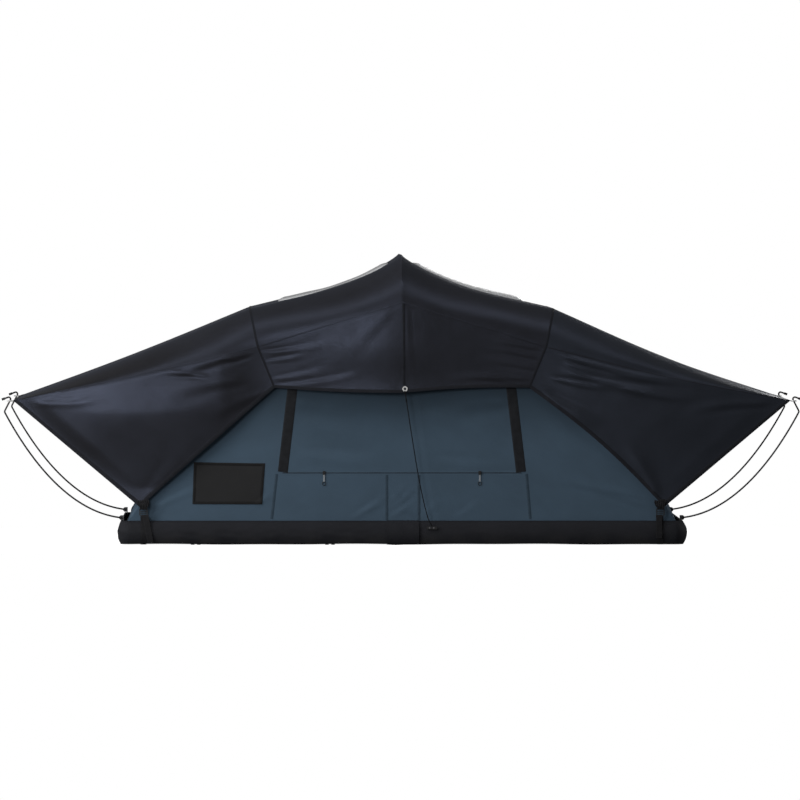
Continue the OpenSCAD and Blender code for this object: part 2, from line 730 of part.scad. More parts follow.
module awning(right) {
    color([0.1, 0.1, 0.12]) half(right) sheet(
        [for (i = [awning_steps : -1 : 0]) awning_grid(0)[i]],
        [for (i = [awning_steps : -1 : 0]) awning_grid(fly_t)[i]]);
}

// Middle of a skylight along the roof
skylight_x = -285;

module skylight_hole(l, w) {
    hole_r = 30;
    translate([skylight_x, 0, axis_z]) linear_extrude(height = ridge_z) {
        square([l - 2 * hole_r, w], center = true);
        square([l, w - 2 * hole_r], center = true);
        for (sx = [-1, 1], sy = [-1, 1])
            translate([sx * (l / 2 - hole_r), sy * (w / 2 - hole_r)]) circle(r = hole_r);
    }
}

// A clear panel that lies over the hole in the fly and follows its sag
module skylight(right) {
    panel_t = 2;
    ends = [for (x = [skylight_x - skylight_l / 2, skylight_x + skylight_l / 2]) 1 - x / fly_seam[0]];
    inner = [for (i = [0 : roof_steps]) i / roof_steps];
    places = concat([ends[0]], [for (v = inner) if (v > ends[0] && v < ends[1]) v], [ends[1]]);
    // The sheet below is straight between its stations
    function on_fly(v) = let (i = min(floor(v * roof_steps), roof_steps - 1), t = v * roof_steps - i)
        lerp(fly_top(i / roof_steps), fly_top((i + 1) / roof_steps), t);
    line = [for (v = places) on_fly(v)];
    color([0.8, 0.85, 0.9, 0.6]) half(right) plate_xz(-skylight_w / 2, skylight_w) polygon(concat(
        [for (p = line) p + [0, seat_gap]],
        [for (k = [len(line) - 1 : -1 : 0]) line[k] + [0, seat_gap + panel_t]]));
}

// Metal rings at the awning's tips, which the rods pass through
module tip_grommets(right) {
    y = right ? right_rod_y : left_rod_y;
    color("gainsboro") half(right) both_sides() translate([grommet_x, y, tip[1] - fly_t]) difference() {
        cylinder(r = grommet_r, h = fly_t);
        translate([0, 0, -1]) cylinder(r = grommet_hole_r, h = fly_t + 2);
    }
}

// Ties

// A webbing strap over the skirt, from below the base up to the buckle
module corner_straps(right) {
    low_z = 4;
    turn_z = skirt_h / 2;
    over = seat_gap + 0.6;
    lower = [for (k = [0 : 5]) let (z = lerp(low_z, turn_z, k / 5)) [half_w + skirt_out(z) + over, z]];
    upper = [[tie_y + 1, strap_top_z]];
    inner = concat(lower, upper);
    outer = [for (k = [len(inner) - 1 : -1 : 0]) inner[k] + [strap_t, 0]];
    color([0.07, 0.07, 0.08]) half(right) both_sides()
        bar_x(-half_l + strap_inset - strap_w / 2, strap_w) polygon(concat(inner, outer));
}

// Ladder-lock buckles between a strap and the awning's corner
module corner_buckles(right) {
    w = strap_w + 10;
    slot_h = 5;
    color([0.06, 0.06, 0.07]) half(right) both_sides()
        plate_xz(tie_y - buckle_t / 2, buckle_t) difference() {
            translate([-half_l + strap_inset - w / 2, strap_top_z + touch]) round_plate(w, buckle_h, buckle_r);
            for (z = [4, 12, 20]) translate([-half_l + strap_inset - strap_w / 2 - 1, strap_top_z + z])
                round_plate(strap_w + 2, slot_h, slot_h / 4);
        }
}

clip_z = 71;
clip_h = 12;
clip_w = 44;
clip_t = 9;
clip_r = 5;
rivet_d = 6;
clip_y = half_w + skirt_out(clip_z - clip_h / 2) + seat_gap + 1;
cord_low = [clip_x, clip_y + 5, clip_z + clip_h / 2 + touch];
eyelet_rise = 17;
side_drop = ridge_z - fly_ridge_arc - fly_edge_z;
eyelet_y = fly_y + eave_out * (1 + eyelet_x / fly_corner[0]) * (1 - eyelet_rise / side_drop);
cord_high = [eyelet_x, fly_y + eave_out + touch + cord_d / 2, fly_edge_z + eyelet_rise - eyelet_r - touch];

// Clips on the right half's skirt that hold the side tension cords
module tension_clips() {
    color([0.06, 0.06, 0.07]) both_sides() difference() {
        plate_xz(clip_y, clip_t) translate([clip_x - clip_w / 2, clip_z - clip_h / 2])
            round_plate(clip_w, clip_h, clip_r);
        for (s = [-1, 1]) translate([clip_x + s * clip_w / 5, clip_y + clip_t - 1, clip_z])
            rotate([-90, 0, 0]) cylinder(d = rivet_d, h = 5);
    }
}

// Elastic cords from the clips up to the fly's side eyelets
module tension_cords() {
    rings = 6;
    sides = 8;
    path = [for (k = [0 : rings]) lerp(cord_low, cord_high, k / rings)];
    points = [for (p = path, k = [0 : sides - 1]) let (a = 360 * k / sides)
        p + cord_d / 2 * [cos(a), sin(a), 0]];
    walls = [for (i = [0 : rings - 1], k = [0 : sides - 1])
        let (a = i * sides + k, b = i * sides + (k + 1) % sides) each [[a, a + sides, b], [b, a + sides, b + sides]]];
    low = [for (k = [1 : sides - 2]) [0, k, k + 1]];
    high = [for (f = low) [for (m = [2, 1, 0]) f[m] + rings * sides]];
    color([0.05, 0.05, 0.06]) both_sides() polyhedron(points = points, faces = concat(low, walls, high));
}

module fly_eyelets() {
    lean_up = atan(eave_out / side_drop);
    lean_right = atan(-eave_out / fly_corner[0]);
    color("gainsboro") both_sides() translate([eyelet_x, eyelet_y, fly_edge_z + eyelet_rise])
        rotate([lean_up - 90, 0, -lean_right]) translate([0, 0, seat_gap]) difference() {
            cylinder(r = eyelet_r, h = 3);
            translate([0, 0, -1]) cylinder(r = eyelet_r / 2, h = 5);
        }
}

left_bend_r = bow_corner_r - bow_pitch;

base_frame(false);  // left_base_frame
deck(false);  // left_deck
roof_rails();
rail_bolts();
skirt(false);  // left_skirt
mattress(false);  // left_mattress
hinge_leaves(false);  // left_hinge_leaves
hinge_pins();
rod_sockets(false);  // left_rod_sockets
corner_straps(false);  // left_corner_straps
corner_buckles(false);  // left_corner_buckles
base_frame(true);  // right_base_frame
deck(true);  // right_deck
skirt(true);  // right_skirt
mattress(true);  // right_mattress
hinge_leaves(true);  // right_hinge_leaves
rod_sockets(true);  // right_rod_sockets
corner_straps(true);  // right_corner_straps
corner_buckles(true);  // right_corner_buckles
ladder_brackets();
tension_clips();
tension_cords();
bow_legs(-side_lean, left_bow_y, side_bow_l, left_bend_r);  // left_bow_legs
bow_top(-side_lean, left_bow_y, side_bow_l, left_bend_r);  // left_bow_top
bow_feet(-side_lean, left_bow_y);  // left_bow_feet
bow_legs(0, centre_bow_y, centre_bow_l, bow_corner_r);  // centre_bow_legs
bow_top(0, centre_bow_y, centre_bow_l, bow_corner_r);  // centre_bow_top
bow_feet(0, centre_bow_y);  // centre_bow_feet
bow_legs(side_lean, right_bow_y, side_bow_l, left_bend_r);  // right_bow_legs
bow_top(side_lean, right_bow_y, side_bow_l, left_bend_r);  // right_bow_top
bow_feet(side_lean, right_bow_y);  // right_bow_feet
rods(false);  // left_rods
rod_caps(false);  // left_rod_caps
rods(true);  // right_rods
rod_caps(true);  // right_rod_caps
side_wall(false, false);  // near_wall_left
side_wall(false, true);  // far_wall_left
end_wall(false);  // left_end_wall
door(false);  // left_door
zip_guards(false);  // left_zip_guards
side_wall(true, false);  // near_wall_right
side_wall(true, true);  // far_wall_right
end_wall(true);  // right_end_wall
door(true);  // right_door
zip_guards(true);  // right_zip_guards
zip_slider(false, false);  // near_left_zip_slider
zip_slider(false, true);  // far_left_zip_slider
zip_slider(true, false);  // near_right_zip_slider
zip_slider(true, true);  // far_right_zip_slider
roof(false);  // roof_left
roof(true);  // roof_right
fly(false);  // fly_left
fly(true);  // fly_right
skylight(false);  // left_skylight
skylight(true);  // right_skylight
fly_eyelets();
awning(false);  // left_awning
awning(true);  // right_awning
tip_grommets(false);  // left_tip_grommets
tip_grommets(true);  // right_tip_grommets
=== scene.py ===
# A fold-out roof top tent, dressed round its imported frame.
# Lengths are in millimetres until a mesh is made. X runs along the tent, Y across it and Z up.
import math

import bpy
import numpy as np
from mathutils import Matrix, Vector


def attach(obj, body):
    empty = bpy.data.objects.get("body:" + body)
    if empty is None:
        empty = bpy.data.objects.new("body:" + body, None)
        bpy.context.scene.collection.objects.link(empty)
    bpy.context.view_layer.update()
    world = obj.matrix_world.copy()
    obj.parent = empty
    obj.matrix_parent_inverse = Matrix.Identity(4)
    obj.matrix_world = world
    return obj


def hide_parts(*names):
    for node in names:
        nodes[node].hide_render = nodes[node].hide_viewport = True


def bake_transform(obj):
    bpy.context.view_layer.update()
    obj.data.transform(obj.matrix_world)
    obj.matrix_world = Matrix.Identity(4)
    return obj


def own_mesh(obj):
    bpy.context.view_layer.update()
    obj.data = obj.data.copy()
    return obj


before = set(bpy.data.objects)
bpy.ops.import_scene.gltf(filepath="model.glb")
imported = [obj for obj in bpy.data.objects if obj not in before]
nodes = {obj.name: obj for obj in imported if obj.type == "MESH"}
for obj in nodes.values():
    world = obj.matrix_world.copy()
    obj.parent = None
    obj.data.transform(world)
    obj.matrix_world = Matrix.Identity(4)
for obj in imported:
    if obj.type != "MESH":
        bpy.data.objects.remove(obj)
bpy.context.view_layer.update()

# Sizes that follow the solids
NEAR, FAR = -1, 1
LEFT, RIGHT = -1, 1
FLANKS = ((NEAR, "near"), (FAR, "far"))
HALVES = ((LEFT, "left"), (RIGHT, "right"))
HALF_L, HALF_W, AXIS_Z = 1160, 915, 161
WALL_Y, FLY_Y = 918.5, 939
LEAN = math.radians(37.5)
LEAN_X, LEAN_Z = -math.sin(LEAN), math.cos(LEAN)
CANVAS_S, CANVAS_R, CANVAS_RIDGE = 1015.9, 200, 1206.7
SEAM = np.array([LEAN_X * 1002 - 24, AXIS_Z + LEAN_Z * 1002 + 29])
SEAM_R, RIDGE_R, RIDGE_Z = 159, 198, 1210
SHOULDER = SEAM + [33, -SEAM_R]
CORNER = np.array([SEAM[0] + 104, 655])
EDGE_Z, EAVE = 634, 28
EYELET = np.array([12, 651])
TIP = np.array([-1622, SEAM[1] - (SEAM[0] + 1622) * math.tan(math.radians(21.2))])
TIP_Y = 905
TIE, TIE_Y = np.array([-1094, 158]), 943
ZIP_X, ZIP_Z = 325, 300
SKYLIGHT_X, SKYLIGHT_L, SKYLIGHT_W = -285, 455, 860
GROMMET_X, ROD_Y = TIP[0] - 13.4, {LEFT: 900, RIGHT: 889}
CLIP_X, CLIP_Z = 125, 71
INSIDE = (0, 0, 300)  # A point in the tent, which the outer faces look away from

# Thicknesses of the cloth that is seen
FLY_T, CANVAS_T, HEM_T, HEM_RISE, SEAM_T = 2.2, 1.6, 0.9, 1.1, 0.8


def lerp(a, b, t):
    """The value that lies a share t of the way from a to b."""
    return a + (b - a) * t


def smooth(t):
    """0 to 1 with an even start and end."""
    t = np.clip(t, 0, 1)
    return t * t * (3 - 2 * t)


def least(a, b, blend=70):
    """The smaller of two lengths, with the change from one to the other rounded off."""
    return (a + b - np.sqrt((a - b) ** 2 + blend**2)) / 2


def bump(t):
    """1 at 0, falling to nothing within about 2 on both sides."""
    return np.exp(-t * t)


def run_of(path):
    """Distance along a path at each of its points."""
    return np.concatenate([[0], np.cumsum(np.linalg.norm(np.diff(path, axis=0), axis=1))])


def even_steps(path, pitch, fewest=3):
    """A flat path's run and its two coordinates, at even steps of about pitch."""
    path = np.asarray(path, float)
    run = run_of(path)
    s = np.linspace(0, run[-1], max(int(run[-1] / pitch), fewest))
    return s, np.interp(s, run, path[:, 0]), np.interp(s, run, path[:, 1])


# Camera: a long lens, level with the tent, as in the photograph
camera = bpy.data.objects.new("camera", bpy.data.cameras.new("camera"))
bpy.context.scene.collection.objects.link(camera)
bpy.context.scene.camera = camera
VIEW_WIDTH, VIEW_FAR = 3.385, 65.0
AMBIENT = 0.11
target = Vector((0, 0, 0.593))
azimuth, elevation = math.radians(-0.5), math.radians(0.7)
level = math.cos(elevation)
back = Vector((math.sin(azimuth) * level, -math.cos(azimuth) * level, math.sin(elevation)))
camera.location = target + back * VIEW_FAR
camera.rotation_mode = "QUATERNION"
camera.rotation_quaternion = (-back).to_track_quat("-Z", "Y")
camera.data.sensor_width = 36
camera.data.lens = 36 * VIEW_FAR / VIEW_WIDTH
camera.data.clip_end = 400


# Materials


class Nodes:
    """A material's node tree with short calls for making and joining nodes."""

    def __init__(self, name):
        self.mat = bpy.data.materials.new(name)
        self.mat.use_nodes = True
        self.tree = self.mat.node_tree
        self.shader = self.tree.nodes["Principled BSDF"]

    def add(self, kind, inputs=None, **props):
        node = self.tree.nodes.new("ShaderNode" + kind)
        for key, value in props.items():
            setattr(node, key, value)
        for key, value in (inputs or {}).items():
            self.set(node.inputs[key], value)
        return node

    def set(self, socket, value):
        if isinstance(value, bpy.types.NodeSocket):
            self.tree.links.new(value, socket)
        else:
            socket.default_value = value

    def math(self, operation, a, b=0.0, c=0.0):
        return self.add("Math", {0: a, 1: b, 2: c}, operation=operation).outputs[0]

    def total(self, *terms):
        """Values added up, each times its weight."""
        parts = [value if weight == 1 else self.math("MULTIPLY", value, weight) for value, weight in terms]
        result = parts[0]
        for part in parts[1:]:
            result = self.math("ADD", result, part)
        return result

    def mix(self, factor, a, b):
        return self.add("Mix", {0: factor, 6: a, 7: b}, data_type="RGBA").outputs[2]

    def noise(self, where, scale, detail=4.0, rough=0.55):
        node = self.add("TexNoise", {"Vector": where, "Scale": scale, "Detail": detail, "Roughness": rough})
        return node.outputs["Fac"]

    def wave(self, where, period, direction):
        node = self.add("TexWave", {"Vector": where, "Scale": 2 * math.pi / (20 * period)})
        node.bands_direction = direction
        return node.outputs["Fac"]

    def range(self, value, low, high, to_low=0.0, to_high=1.0, kind="LINEAR"):
        inputs = {0: value, 1: low, 2: high, 3: to_low, 4: to_high}
        return self.add("MapRange", inputs, interpolation_type=kind).outputs[0]

    def uv(self):
        return self.add("UVMap", uv_map="weave").outputs[0]

    def place(self):
        return self.add("TexCoord").outputs["Object"]

    def part(self, where, axis):
        return self.add("SeparateXYZ", {0: where}).outputs["XYZ".index(axis)]

    def finish(self, colour, rough, height=None, depth=0.0002, strength=0.5, **sockets):
        self.set(self.shader.inputs["Base Color"], colour)
        self.set(self.shader.inputs["Roughness"], rough)
        if height is not None:
            node = self.add("Bump", {"Height": height, "Distance": depth, "Strength": strength})
            self.tree.links.new(node.outputs[0], self.shader.inputs["Normal"])
        for key, value in sockets.items():
            self.shader.inputs[key.replace("_", " ")].default_value = value
        return self.mat


def rgb(r, g, b):
    """A colour read from a picture, 0 to 255, as a linear colour."""
    return tuple(((v / 255 + 0.055) / 1.055) ** 2.4 for v in (r, g, b)) + (1.0,)


def woven(name, dark, light, thread, rough, sheen, tint, depth=0.00025, crumple=0.5, ripstop=0.0,
          gloss=0.18, shine=(1, 1, 1, 1), painted_eave_shadow=0.0, weathered=0.0):
    """Plain-woven cloth: crossing threads, slow changes of shade and fine crumpling."""
    n = Nodes(name)
    uv = n.uv()
    weave = n.total((n.wave(uv, thread, "X"), 0.5), (n.wave(uv, thread * 1.15, "Y"), 0.5))
    cloudy = n.noise(uv, 6.0, 5.0, 0.6)
    shade = n.total((cloudy, 0.62), (weave, 0.2), (n.noise(uv, 900.0, 2.0, 0.5), 0.18))
    colour = n.mix(n.range(shade, 0.3, 0.7), dark, light)
    if painted_eave_shadow:
        # Painted shade: the cloth darkens towards the top, standing in for the shadow under the fly's eaves
        eave_shadow_share = n.range(n.part(n.place(), "Z"), 0.4, 0.64, 0.0, painted_eave_shadow, "SMOOTHSTEP")
        colour = n.mix(eave_shadow_share, colour, tuple(v * 0.35 for v in dark[:3]) + (1.0,))
    height = n.total((weave, 0.3), (n.noise(uv, 26.0, 6.0, 0.62), crumple * 10))
    if ripstop:
        cells = [n.range(n.wave(uv, ripstop, axis), 0.9, 1.0) for axis in "XY"]
        height = n.total((height, 1), (n.math("MAXIMUM", *cells), 0.5))
    roughness = n.range(cloudy, 0.25, 0.75, rough - 0.06, rough + 0.06)
    if weathered:
        # The top, which lies in the weather, has lost the sides' shine
        across = n.math("ABSOLUTE", n.part(n.place(), "Y"))
        roughness = n.math("ADD", roughness, n.range(across, 0.8, 0.93, weathered, 0.0, "SMOOTHSTEP"))
    return n.finish(
        colour, roughness, height, depth, 0.6, Sheen_Weight=sheen, Sheen_Roughness=0.45, Sheen_Tint=tint,
        Specular_IOR_Level=gloss, Specular_Tint=shine,
    )


def satin(name, dark, light, rough):
    """The fly's satin ripstop, which shines blue."""
    return woven(name, dark, light, 0.0008, rough, 0.02, (0.6, 0.68, 0.85, 1), crumple=0.12, ripstop=0.0065,
                 gloss=0.52, shine=(0.58, 0.68, 1, 1), weathered=0.45)


def canvas(name, dark, light, crumple, painted_eave_shadow=0.0):
    """The matt cloth of the tent's body."""
    tint = (0.7, 0.8, 0.95, 1)
    return woven(name, dark, light, 0.0013, 0.85, 0.03, tint, 0.0003, crumple, painted_eave_shadow=painted_eave_shadow)


def stitched(name, dark, light, thread_colour, rough, rib=0.0016, edge=0.0, pitch=0.0042):
    """Tape or webbing with cross ribs, and a row of stitches along each long edge."""
    n = Nodes(name)
    uv = n.uv()
    fibre = n.total((n.wave(uv, rib, "X"), 0.6), (n.wave(uv, rib * 2.1, "DIAGONAL"), 0.4))
    shade = n.total((fibre, 0.4), (n.noise(uv, 40.0, 4.0), 1))
    colour = n.mix(n.range(shade, 0.4, 1.0), dark, light)
    height = fibre
    if edge:
        # Across the tape, V runs from 0 to its width, so both rows are found by folding it at the middle
        across = n.math("PINGPONG", n.part(uv, "Y"), edge)
        line = n.math("LESS_THAN", n.math("ABSOLUTE", n.math("SUBTRACT", across, 0.0024)), 0.0007)
        dash = n.math("LESS_THAN", n.math("FRACT", n.math("DIVIDE", n.part(uv, "X"), pitch)), 0.68)
        stitch = n.math("MULTIPLY", line, dash)
        colour = n.mix(stitch, colour, thread_colour)
        height = n.total((height, 1), (stitch, 1.4))
    return n.finish(colour, rough, height, 0.0003, 0.55, Sheen_Weight=0.03, Specular_IOR_Level=0.15)


def coated(name, dark, light, rough, dust):
    """PVC-coated cloth: a satin face over a coarse weave, scuffed and dusty towards the ground."""
    n = Nodes(name)
    uv = n.uv()
    weave = n.total(*((n.wave(uv, 0.0021, axis), 0.5) for axis in "XY"))
    cloudy = n.noise(uv, 7.0, 6.0, 0.62)
    low = n.range(n.part(n.place(), "Z"), 0.07, 0.0)
    dusty = n.math("MULTIPLY", low, n.range(cloudy, 0.42, 0.75))
    colour = n.mix(n.range(cloudy, 0.3, 0.7), dark, light)
    colour = n.mix(n.math("MULTIPLY", dusty, 0.5), colour, dust)
    height = n.total((weave, 0.35), (n.noise(uv, 34.0, 5.0, 0.6), 4.0))
    roughness = n.range(n.math("ADD", cloudy, dusty), 0.3, 1.1, rough - 0.08, rough + 0.2)
    return n.finish(colour, roughness, height, 0.0003, 0.55, Specular_IOR_Level=0.14)


def plastic(name, dark, light, rough, grain=900.0):
    """Moulded plastic with a fine spark-eroded grain."""
    n = Nodes(name)
    where = n.place()
    fine = n.noise(where, grain, 3.0, 0.6)
    colour = n.mix(n.noise(where, 14.0, 3.0), dark, light)
    roughness = n.range(fine, 0.3, 0.7, rough - 0.06, rough + 0.1)
    return n.finish(colour, roughness, fine, 0.0002, 0.3, Specular_IOR_Level=0.45)


def metal(name, dark, light, rough, metallic=1.0, brushed=(3.0, 260.0, 260.0), pits=0.2):
    """Metal with drawn lines along one direction, handling marks and a little dirt."""
    n = Nodes(name)
    where = n.place()
    drawn = n.add("Mapping", {0: where, 3: brushed}).outputs[0]
    lines = n.noise(drawn, 1.0, 4.0, 0.6)
    marks = n.noise(where, 22.0, 6.0, 0.65)
    colour = n.mix(n.range(n.total((lines, 0.5), (marks, 0.5)), 0.3, 0.7), dark, light)
    roughness = n.range(marks, 0.3, 0.75, rough - 0.07, rough + 0.14)
    return n.finish(colour, roughness, lines, 0.0001, pits, Metallic=metallic)


FLY = satin("fly_cloth", rgb(28, 27, 27), rgb(34, 33, 34), 0.38)
# Painted light: a lighter, bluer copy of the fly's cloth for the right awning, standing in for the extra
# light that awning catches
LIT_AWNING = satin("awning_cloth", rgb(32, 34, 37), rgb(38, 40, 44), 0.4)
# The walls' cloth carries painted shade, darker towards the top under the fly's eaves
CANVAS = canvas("canvas_cloth", rgb(65, 82, 97), rgb(74, 93, 110), 0.12, painted_eave_shadow=0.66)
LINING = canvas("roof_cloth", rgb(52, 66, 78), rgb(62, 78, 92), 0.3)
DOOR = canvas("door_cloth", rgb(50, 64, 76), rgb(61, 77, 91), 0.4)
COVER = woven("mattress_cloth", rgb(96, 101, 108), rgb(122, 127, 134), 0.0016, 0.88, 0.2, (0.9, 0.93, 1, 1),
              0.0004, 0.3)
PATCH = woven("patch_cloth", rgb(34, 34, 35), rgb(44, 44, 45), 0.001, 0.7, 0.03, (0.8, 0.8, 0.8, 1),
              crumple=0.2)
SKIRT = coated("skirt_cloth", rgb(31, 32, 36), rgb(38, 39, 44), 0.74, rgb(62, 60, 57))
HEM = stitched("fly_hem", rgb(24, 25, 30), rgb(34, 36, 43), rgb(44, 47, 55), 0.7, edge=0.014)
# Darker than the fly: partly the tape's own colour, partly painted shade along the seam
TAPE = stitched("fly_seam_tape", rgb(20, 21, 26), rgb(30, 32, 39), rgb(40, 43, 50), 0.7, edge=0.014)
FELL = stitched("canvas_seam", rgb(47, 60, 71), rgb(58, 74, 88), rgb(74, 90, 104), 0.85, edge=0.012)
GUARD = stitched("zip_guard", rgb(24, 25, 28), rgb(36, 38, 42), rgb(50, 52, 57), 0.7, edge=0.042)
BORDER = stitched("patch_border", rgb(22, 22, 23), rgb(32, 32, 33), rgb(50, 50, 50), 0.7, edge=0.012)
WEBBING = stitched("webbing", rgb(20, 20, 22), rgb(34, 34, 37), rgb(46, 46, 48), 0.72, 0.0024, 0.025, 0.005)
COIL = stitched("zip_coil", rgb(22, 26, 31), rgb(44, 52, 60), rgb(44, 52, 60), 0.55, rib=0.0023)
CORD = stitched("braided_cord", rgb(12, 12, 14), rgb(26, 26, 29), rgb(30, 30, 32), 0.75, rib=0.002)
BLACK = plastic("black_plastic", rgb(18, 18, 20), rgb(28, 28, 30), 0.5)
RUBBER = plastic("black_rubber", rgb(18, 18, 18), rgb(29, 29, 29), 0.72, 500.0)
GREY = plastic("grey_plastic", rgb(120, 126, 132), rgb(150, 155, 160), 0.4)
ROD = plastic("coated_rod", rgb(12, 12, 14), rgb(22, 22, 25), 0.42, 300.0)
HOOP = metal("hoop_alloy", (0.42, 0.43, 0.45, 1), (0.62, 0.63, 0.65, 1), 0.32, brushed=(240.0, 4.0, 240.0))
FRAME = metal("frame_alloy", (0.09, 0.09, 0.1, 1), (0.15, 0.15, 0.16, 1), 0.42, 0.9)
PANEL = metal("deck_alloy", (0.46, 0.47, 0.48, 1), (0.6, 0.61, 0.62, 1), 0.46, brushed=(2.0, 120.0, 120.0))
STEEL = metal("plated_steel", (0.5, 0.5, 0.49, 1), (0.66, 0.66, 0.65, 1), 0.34, brushed=(90.0, 90.0, 90.0))
NICKEL = metal("nickel", (0.8, 0.8, 0.79, 1), (0.92, 0.92, 0.91, 1), 0.24, 0.3, (300.0, 300.0, 300.0))
CAST = metal("cast_alloy", (0.06, 0.06, 0.065, 1), (0.11, 0.11, 0.115, 1), 0.5, 0.6, (160.0, 160.0, 160.0),
             pits=0.4)


def clear_film():
    """Clear PVC with soft ripples and faint scuffs; its pale colour is partly the film's milky tone and
    partly painted reflection of bright surroundings.
    """
    n = Nodes("clear_film")
    uv = n.uv()
    ripple = n.noise(uv, 5.0, 3.0)
    scuff = n.noise(uv, 120.0, 5.0, 0.7)
    # Pale colour: partly milky film, partly painted reflection of the bright surroundings
    colour = n.mix(scuff, (0.8, 0.81, 0.83, 1), (0.92, 0.93, 0.94, 1))
    rough = n.range(scuff, 0.4, 0.8, 0.2, 0.38)
    return n.finish(colour, rough, ripple, 0.004, 0.3, Transmission_Weight=0.2, IOR=1.45)


FILM = clear_film()


# Meshes


def new_piece(name, points, faces, uv, mat, sharp=38):
    """A mesh in metres from points in millimetres; uv is each point's place on the flat cloth, in metres."""
    mesh = bpy.data.meshes.new(name)
    mesh.from_pydata((np.asarray(points, float) / 1000).tolist(), [], [list(map(int, f)) for f in faces])
    mesh.materials.append(mat)
    layer = mesh.uv_layers.new(name="weave")
    corner = np.zeros(len(mesh.loops), np.int32)
    mesh.loops.foreach_get("vertex_index", corner)
    layer.uv.foreach_set("vector", np.asarray(uv, np.float32)[corner].ravel())
    mesh.shade_smooth()
    mesh.set_sharp_from_angle(angle=math.radians(sharp))
    mesh.validate()
    piece = bpy.data.objects.new(name, mesh)
    bpy.context.scene.collection.objects.link(piece)
    return piece


def grid_normals(p, centre=INSIDE):
    """Unit normals of a grid of points, pointing away from centre."""
    n = np.cross(np.gradient(p, axis=1), np.gradient(p, axis=0))
    n = n / np.maximum(np.linalg.norm(n, axis=2, keepdims=True), 1e-9)
    return n if np.sum(n * (p - np.asarray(centre))) >= 0 else -n


def flat_places(p):
    """Where each point of a grid lies on the flat cloth, in metres: along the rows, then across them."""
    steps = [np.linalg.norm(np.diff(p, axis=k), axis=2).mean(1 - k) for k in (0, 1)]
    u, v = (np.concatenate([[0], np.cumsum(s)]) / 1000 for s in steps)
    return np.stack(np.meshgrid(u, v, indexing="ij"), -1).reshape(-1, 2)


def grid_quads(shape):
    """Faces of a grid of points, as numbers into its flat list."""
    at = np.arange(shape[0] * shape[1]).reshape(shape)
    return np.stack([at[:-1, :-1], at[:-1, 1:], at[1:, 1:], at[1:, :-1]], -1).reshape(-1, 4)


def closed_body(quads, top, under, uv):
    """Closes the space between two equal lists of points; quads are the faces of the top one."""
    total = len(top)
    edges = np.stack([quads, np.roll(quads, -1, 1)], -1).reshape(-1, 2).tolist()
    have = set(map(tuple, edges))
    rim = np.array([e for e in edges if (e[1], e[0]) not in have])
    sides = np.stack([rim[:, 1], rim[:, 0], rim[:, 0] + total, rim[:, 1] + total], -1)
    faces = np.concatenate([quads, quads[:, ::-1] + total, sides])
    used = np.unique(faces)
    number = np.full(2 * total, -1)
    number[used] = np.arange(len(used))
    return np.concatenate([top, under])[used], number[faces], np.concatenate([uv, uv])[used]


def skin(p, thick, centre=INSIDE, keep=None):
    """A thin sheet with the grid p as its outer face: points, faces, flat places. keep leaves faces out."""
    n, q = grid_normals(p, centre).reshape(-1, 3), p.reshape(-1, 3)
    quads = grid_quads(p.shape[:2])
    a, b, d = (q[quads[:, k]] for k in (0, 1, 3))
    if np.sum(np.cross(b - a, d - a) * n[quads[:, 0]]) < 0:
        quads = quads[:, ::-1]
    if keep is not None:
        quads = quads[keep.reshape(-1)]
    return closed_body(quads, q, q - n * thick, flat_places(p))


def shell(name, p, thick, mat, centre=INSIDE, keep=None):
    """A new piece that is one thin sheet."""
    return new_piece(name, *skin(p, thick, centre, keep), mat)


def ring_quads(rings, sides, closed=False):
    """Faces between rings of equal points, the last one joined to the first if closed."""
    faces = []
    for i in range(rings if closed else rings - 1):
        a, b = i * sides, (i + 1) % rings * sides
        faces += [[a + k, a + (k + 1) % sides, b + (k + 1) % sides, b + k] for k in range(sides)]
    return faces


def tube(path, width, sides=14, closed=False):
    """Points, faces and flat places of a tube along a path."""
    path = np.asarray(path, float)
    n = len(path)
    ahead = np.roll(path, -1, 0) if closed else np.concatenate([path[1:], path[-1:]])
    behind = np.roll(path, 1, 0) if closed else np.concatenate([path[:1], path[:-1]])
    along = ahead - behind
    along /= np.linalg.norm(along, axis=1, keepdims=True)
    side = np.cross(along, [0, 1, 0])
    weak = np.linalg.norm(side, axis=1) < 0.2
    side[weak] = np.cross(along[weak], [1, 0, 0])
    side /= np.linalg.norm(side, axis=1, keepdims=True)
    other = np.cross(side, along)
    angle = np.linspace(0, 2 * np.pi, sides, endpoint=False)
    r = np.broadcast_to(np.asarray(width, float), n)[:, None, None] / 2
    cos, sin = np.cos(angle)[:, None], np.sin(angle)[:, None]
    points = path[:, None] + (side[:, None] * cos + other[:, None] * sin) * r
    uv = np.stack(np.meshgrid(run_of(path) / 1000, angle * r.mean() / 1000, indexing="ij"), -1)
    faces = ring_quads(n, sides, closed)
    if not closed:
        faces += [list(range(sides))[::-1], [(n - 1) * sides + k for k in range(sides)]]
    return points.reshape(-1, 3), faces, uv.reshape(-1, 2)


def join(parts):
    """Several (points, faces, uv) as one."""
    points, faces, uv = [], [], []
    for p, f, u in parts:
        start = sum(len(q) for q in points)
        points.append(p)
        uv.append(u)
        faces += [[i + start for i in face] for face in f]
    return np.concatenate(points), faces, np.concatenate(uv)


def turned(profile, centre, steps=28):
    """A ring turned about an upright axis from a closed profile of radius and height."""
    profile = np.asarray(profile, float)
    a = np.linspace(0, 2 * np.pi, steps, endpoint=False)
    r, h = profile[:, :1], profile[:, 1:]
    points = np.stack([r * np.cos(a), r * np.sin(a), h + 0 * a], -1) + np.asarray(centre, float)
    uv = np.stack([a * 0.01 + 0 * h, h / 1000 + 0 * a], -1)
    return points.reshape(-1, 3), ring_quads(len(profile), steps, True), uv.reshape(-1, 2)


